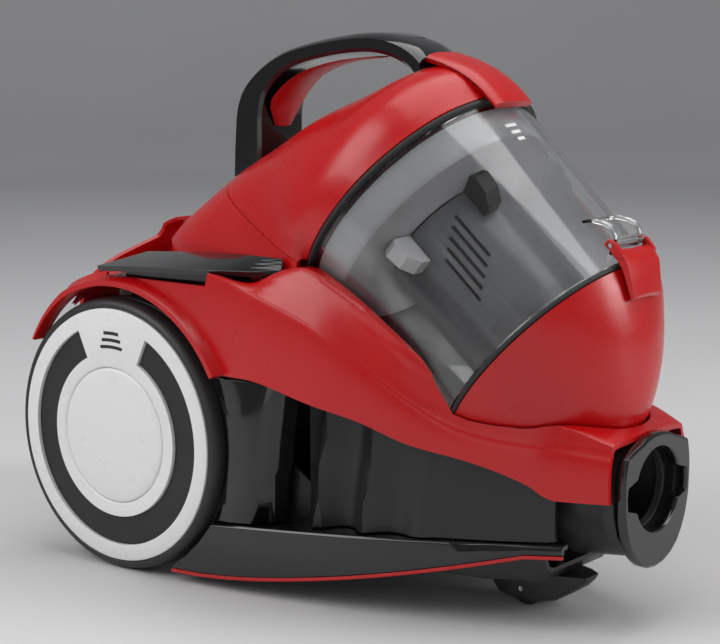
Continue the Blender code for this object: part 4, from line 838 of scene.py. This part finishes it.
def tower_skin():
    angles = [SEAM_ANGLE + 0.25 + (179.6 - SEAM_ANGLE) * k / 10 for k in range(11)]
    outer = [hood_arch(a, 0.0, LID_COLUMNS) for a in angles]
    inner = [hood_arch(a, -2.8, LID_COLUMNS) for a in angles]
    foot = DECK_Z + GAP
    outer.append([(x, y, foot) for x, y, _ in outer[-1]])
    inner.append([(x, y, foot) for x, y, _ in inner[-1]])
    obj = band("tower_skin", outer, inner, None, 40)
    combine(obj, lift_cutter())
    return obj


# ---------------------------------------------------------------- body

def smooth_section(x, inset):
    """The half section as an even smooth line."""
    return [Vector((p.x, p.y)) for p in spline([(p.x, p.y, 0) for p in shell_section(x, inset)], 27)]


def full_row(x, inset):
    half = smooth_section(x, inset)
    right = [(x, -p.x, p.y) for p in half]
    left = [(x, p.x, p.y) for p in reversed(half[:-1])]
    return right + left


def shell_skin():
    count = 62
    stations = [-58 + (PORT_FACE_X - 7 + 58) * k / count for k in range(count + 1)]
    outer = [full_row(x, 0.0) for x in stations]
    inner = [full_row(x, WALL) for x in stations]
    obj = band("shell_skin", outer, inner, None)
    for side in (RIGHT, LEFT):
        combine(obj, arch_cutter(side), solver="MANIFOLD")
        combine(obj, fender(side), "UNION", "MANIFOLD")
    combine(obj, container_cutter(), solver="MANIFOLD")
    combine(obj, lift_cutter(), solver="MANIFOLD")
    for side in (RIGHT, LEFT):
        plate = prism("plate_cutter", pedal_outline(side, -0.6, -0.6), 97.2, 125, None)
        combine(obj, plate, solver="MANIFOLD")
        skirt = prism("skirt_cutter", pedal_outline(side, 11.0, 0.4), 84, 126, None)
        combine(obj, skirt, solver="MANIFOLD")
    combine(obj, tower_cutter(), solver="MANIFOLD")
    return obj


# ---------------------------------------------------------------- container

def bin_skin():
    foot = bin_radius(BIN_LENGTH)
    profile = [(BIN_RADIUS, 0.6), (BIN_RADIUS - 0.6, 0), (BIN_RADIUS - BIN_WALL + 0.6, 0),
        (BIN_RADIUS - BIN_WALL, 0.6),
               (foot - BIN_WALL, BIN_LENGTH - 0.6), (foot - BIN_WALL + 0.6, BIN_LENGTH),
               (foot - 0.6, BIN_LENGTH),
               (foot, BIN_LENGTH - 0.6)]
    return lathe("bin_skin", profile, bin_frame(), None, 144)


def cup_skin():
    outside = [(p.x, p.y) for p in spline([(r, d, 0) for r, d in cup_profile()[1:]], 26)]
    wall = 2.5
    rim = cup_profile()[0]
    outside = [(rim[0] - 0.5, rim[1]), (rim[0], rim[1] + 0.5)] + outside
    inside = [(max(r - wall, 0.5), d - wall * (i / (len(outside) - 1))) for i, (r, d) in enumerate(outside)]
    inside[0] = (rim[0] - wall, rim[1])
    profile = [(0, outside[-1][1] + 0.4 - wall)] + list(reversed(inside)) + outside + [(0,
        outside[-1][1] + 0.4)]
    return lathe("cup_skin", profile, bin_frame(), None, 120, ring=False, angle=50)


def shroud_skin():
    outer = SHROUD_RADIUS
    profile = [(outer, 25.5), (outer, 111.5), (outer - 0.5, 112), (outer - 1.5, 112), (outer - 2, 111.5),
        (outer - 2, 25.5),
               (outer - 1.5, 25), (outer - 0.5, 25)]
    obj = lathe("shroud_skin", profile, bin_frame(), None, 96)
    cutters = []
    for k in range(5):
        away = bin_frame() @ Matrix.Rotation(math.radians(48 + 7 * k), 4, "Z")
        corners = ((35, -1), (45, -1), (45, 1), (35, 1))
        points = [away @ Vector((r, s, d)) for d in (34 + 4 * k, 66 + 4 * k) for r, s in corners]
        cutters.append(loft("slot", [points[:4], points[4:]], None))
    combine(obj, joined(cutters))
    return obj


def funnel_skin():
    rim = BIN_RADIUS - BIN_WALL - 0.6
    profile = [(38, 2.0), (rim - 0.8, 2.0), (rim - 0.4, 2.4), (rim - 0.8, 8.0), (rim - 1.2, 15.0),
        (rim - 1.6, 19.0),
               (rim - 2.2, 21.0), (rim - 3.4, 22.0), (56, 22.2), (50, 22.5), (46, 24), (41, 24), (41, 19),
               (38, 8)]
    return lathe("funnel_skin", profile, bin_frame(), None, 120)


def cone_skin():
    profile = [(30, 12), (33, 12), (33, 30), (18, 88), (15.5, 88), (30, 30)]
    return lathe("cone_skin", profile, bin_frame(), None, 72)


def gasket_skin():
    inner = BIN_RADIUS - 4.0
    profile = [(inner, -RING_DEPTH), (LID_RADIUS - 0.8, -RING_DEPTH),
        (LID_RADIUS - 0.2, -RING_DEPTH * 0.75),
               (LID_RADIUS, -RING_DEPTH / 2), (LID_RADIUS - 0.4, -RING_DEPTH * 0.2),
               (LID_RADIUS - 1.0, -GAP), (inner, -GAP)]
    return lathe("gasket_skin", profile, bin_frame(), None, 128)


def seal_skin():
    low = BIN_LENGTH + GAP
    rim = BIN_FOOT + 0.8
    profile = [(rim - 5, low), (rim - 0.4, low), (rim, low + 0.4), (rim + 0.4, low + 1.2),
        (rim, CUP_START - GAP - 0.3),
               (rim - 0.4, CUP_START - GAP), (rim - 5, CUP_START - GAP)]
    return lathe("seal_skin", profile, bin_frame(), None, 128)


def handle_skin():
    obj = strap("handle_skin", HANDLE_LINE, HANDLE_THICK, HANDLE_HALF, None, 64)
    combine(obj, hood_cutter(GAP), solver="MANIFOLD")
    combine(obj, box("front_cutter", (168.5, -40, 200), (190, 40, 260), None))
    return obj


def container():
    body = "container"
    place(lid_skin(), body, "red_body", ("lid",))
    place(gasket_skin(), body, "seal", ("lid_gasket",))
    place(bin_skin(), body, "clear", ("clear_bin",))
    # The funnel's milky pale tint is a painted reflection of studio light on the clear bin; the funnel
    # itself is a real part.
    place(funnel_skin(), body, "pale", ("separator_funnel",))
    place(shroud_skin(), body, "smoke", ("cyclone_shroud",))
    place(cone_skin(), body, "dark", ("cyclone_cone",))
    place(seal_skin(), body, "seal", ("flap_seal",))
    place(handle_skin(), body, "black_gloss", ("handle",))
    place(cup_skin(), "flap", "red_body", ("bin_flap",))
    for node in ("handle_grip", "flap_pin", "lever_bracket", "lever_pin", "shroud_clip_dark",
        "shroud_clip_pale"):
        dress(node, 0.3)
    dress("flap_lever", 0.5)
    dress("release_latch", 0.5)


def body():
    place(shell_skin(), "body", "red_body", ("upper_shell",))
    place(tower_skin(), "body", "red_body", ("tower",))
    for node, edge in (("chassis_tub", 0.0), ("rear_panel", 0.4), ("exhaust_cover", 0.3),
        ("cord_gland", 0.3),
                       ("bin_cradle", 0.0), ("suction_duct", 0.0), ("port_collar", 0.0), ("port_face", 0.5),
                       ("port_seal", 0.3), ("caster_stem", 0.2), ("motor_housing", 0.4)):
        dress(node, edge)
    for word, _ in SIDES:
        for kind, edge in (("sled", 0.5), ("sled_strip", 0.2), ("side_panel", 0.5), ("side_insert", 0.0)):
            dress(f"{kind}_{word}", edge)
        dress(f"pedal_{word}", 0.3)
    dress("caster_housing", 0.5)
    dress("caster_pin", 0.2)
    dress("caster_roller", 0.3)
    for node in ("exhaust_filter", "circuit_board", "motor_rotor", "cord_drum"):
        dress(node, 0.0)


# ---------------------------------------------------------------- repeats and marks

GROUP_INPUTS = (("Geometry", "NodeSocketGeometry"), ("Count", "NodeSocketInt"),
    ("Start", "NodeSocketVector"),
                ("Step", "NodeSocketVector"), ("Size", "NodeSocketVector"), ("Turn", "NodeSocketVector"),
                ("Seed", "NodeSocketInt"), ("Finish", "NodeSocketMaterial"))


def repeat_tree(name):
    """Node group that sets equal bars along a line."""
    tree = bpy.data.node_groups.new(name, "GeometryNodeTree")
    ids = {}
    for label, kind in GROUP_INPUTS:
        ids[label] = tree.interface.new_socket(name=label, in_out="INPUT", socket_type=kind).identifier
    tree.interface.new_socket(name="Geometry", in_out="OUTPUT", socket_type="NodeSocketGeometry")
    add, link = tree.nodes.new, tree.links.new
    given = add("NodeGroupInput").outputs
    line = add("GeometryNodeMeshLine")
    line.mode = "OFFSET"
    link(given["Count"], line.inputs["Count"])
    link(given["Start"], line.inputs["Start Location"])
    link(given["Step"], line.inputs["Offset"])
    piece = add("GeometryNodeMeshCube")
    spin = add("FunctionNodeRandomValue")
    spin.data_type = "FLOAT"
    spin.inputs[3].default_value = 0.99
    spin.inputs[2].default_value = 0.96
    link(given["Seed"], spin.inputs["Seed"])
    size = add("ShaderNodeVectorMath")
    size.operation = "SCALE"
    link(given["Size"], size.inputs[0])
    link(spin.outputs[1], size.inputs["Scale"])
    turn = add("FunctionNodeEulerToRotation")
    link(given["Turn"], turn.inputs[0])
    put = add("GeometryNodeInstanceOnPoints")
    link(line.outputs["Mesh"], put.inputs["Points"])
    link(piece.outputs["Mesh"], put.inputs["Instance"])
    link(turn.outputs[0], put.inputs["Rotation"])
    link(size.outputs["Vector"], put.inputs["Scale"])
    whole = add("GeometryNodeRealizeInstances")
    link(put.outputs["Instances"], whole.inputs["Geometry"])
    painted = add("GeometryNodeSetMaterial")
    link(whole.outputs["Geometry"], painted.inputs["Geometry"])
    link(given["Finish"], painted.inputs["Material"])
    link(painted.outputs["Geometry"], add("NodeGroupOutput").inputs["Geometry"])
    return tree, ids


def repeated(name, count, start, step, size, slot, turn=(0, 0, 0), seed=7):
    """Plain mesh of a row of equal pieces, sizes in millimetres in the axle frame."""
    tree, ids = repeat_tree(name + "_nodes")
    base = bpy.data.objects.new(name + "_base", bpy.data.meshes.new(name + "_base"))
    bpy.context.scene.collection.objects.link(base)
    change = base.modifiers.new("repeat", "NODES")
    change.node_group = tree
    values = {"Count": count, "Start": [v * MM for v in start], "Step": [v * MM for v in step],
              "Size": [v * MM for v in size], "Turn": list(turn), "Seed": seed, "Finish": LOOKS[slot]}
    for label, value in values.items():
        change[ids[label]] = value
    graph = bpy.context.evaluated_depsgraph_get()
    mesh = bpy.data.meshes.new_from_object(base.evaluated_get(graph))
    base.modifiers.remove(change)
    bpy.data.objects.remove(base, do_unlink=True)
    made = bpy.data.objects.new(name, mesh)
    bpy.context.scene.collection.objects.link(made)
    smooth(made)
    return made


def bar_on_bin(depth, reach, first, last, proud=0.25):
    """Thin curved bar on the clear wall between two turns."""
    rings = []
    for k in range(9):
        turn = math.radians(first + (last - first) * k / 8)
        away = bin_frame() @ Matrix.Rotation(turn, 4, "Z")
        rings.append([away @ Vector((bin_radius(d) + lift, 0, d))
                      for d, lift in ((depth, 0.02), (depth + reach, 0.02), (depth + reach, proud),
                          (depth, proud))])
    return loft("bin_bar", rings, None)


def details():
    bars = [bar_on_bin(16 + 5.0 * k, 2.2, 3.0 + 0.6 * k, 9.5 - 0.6 * k) for k in range(3)]
    place(joined(bars), "container", "white_trim").name = "bin_mark"
    ribs = repeated("handle_ribs", 7, (124, 0, 241.9), (4.2, 0, -0.34), (1.6, 20, 0.9), "dark",
        (0, 0.08, 0))
    place(ribs, "container", "dark")


# ---------------------------------------------------------------- stage

def stage():
    rows = [(0, 0), (2600, 0), (3200, 30), (3700, 180), (4050, 520), (4200, 1100), (4250, 2600)]
    profile = [(p.x, max(p.y, 0.0)) for p in spline([(r, h, 0) for r, h in rows], 30)]
    made = lathe("floor", profile, Matrix.Identity(4), None, 96, ring=False)
    bmesh_flip(made)
    mat, tree, shader = new_material("floor_paper")
    wander = noise(tree, 1.3, 2.0)
    tree.links.new(varied(tree, wander, (0.60, 0.60, 0.605), (0.64, 0.64, 0.645)),
        shader.inputs["Base Color"])
    bumped(tree, shader, noise(tree, 350.0, 3.0), 0.05, 0.0003)
    shader.inputs["Roughness"].default_value = 0.55
    made.data.materials.append(mat)
    return made


def bmesh_flip(obj):
    work = bmesh.new()
    work.from_mesh(obj.data)
    bmesh.ops.reverse_faces(work, faces=work.faces)
    work.to_mesh(obj.data)
    work.free()


def area_light(name, place_at, target, size, power, colour=(1, 1, 1), tall=None):
    data = bpy.data.lights.new(name, "AREA")
    data.shape = "RECTANGLE"
    data.size = size
    data.size_y = tall or size
    data.energy = power
    data.color = colour
    obj = bpy.data.objects.new(name, data)
    bpy.context.scene.collection.objects.link(obj)
    obj.location = place_at
    obj.rotation_euler = (Vector(target) - Vector(place_at)).to_track_quat("-Z", "Y").to_euler()
    return obj


def lights():
    world = bpy.data.worlds.new("studio")
    world.use_nodes = True
    world.node_tree.nodes["Background"].inputs["Color"].default_value = (0.95, 0.97, 1.0, 1)
    world.node_tree.nodes["Background"].inputs["Strength"].default_value = 0.22
    bpy.context.scene.world = world
    bpy.context.scene.view_settings.view_transform = "Standard"
    middle = (0, 0, 0.15)
    area_light("key", (-0.9, -1.5, 1.5), middle, 1.6, 26)
    area_light("top", (0.1, 0.2, 1.9), middle, 1.6, 18)
    area_light("rim", (1.5, 0.7, 0.9), middle, 0.5, 16, tall=1.3)
    area_light("fill", (1.2, -1.6, 0.5), middle, 1.2, 4)


def camera():
    data = bpy.data.cameras.new("camera")
    data.lens = 91.02
    data.sensor_width = 36.0
    obj = bpy.data.objects.new("camera", data)
    bpy.context.scene.collection.objects.link(obj)
    turn, lift = math.radians(38.59), math.radians(9.14)
    back = Vector((math.sin(turn) * math.cos(lift), -math.cos(turn) * math.cos(lift), math.sin(lift)))
    obj.location = Vector((-0.0086, 0, 0.1517)) + back * 1.1167
    obj.rotation_mode = "QUATERNION"
    obj.rotation_quaternion = (-back).to_track_quat("-Z", "Y")
    bpy.context.scene.camera = obj


wheels()
container()
body()
details()
stage()
lights()
camera()
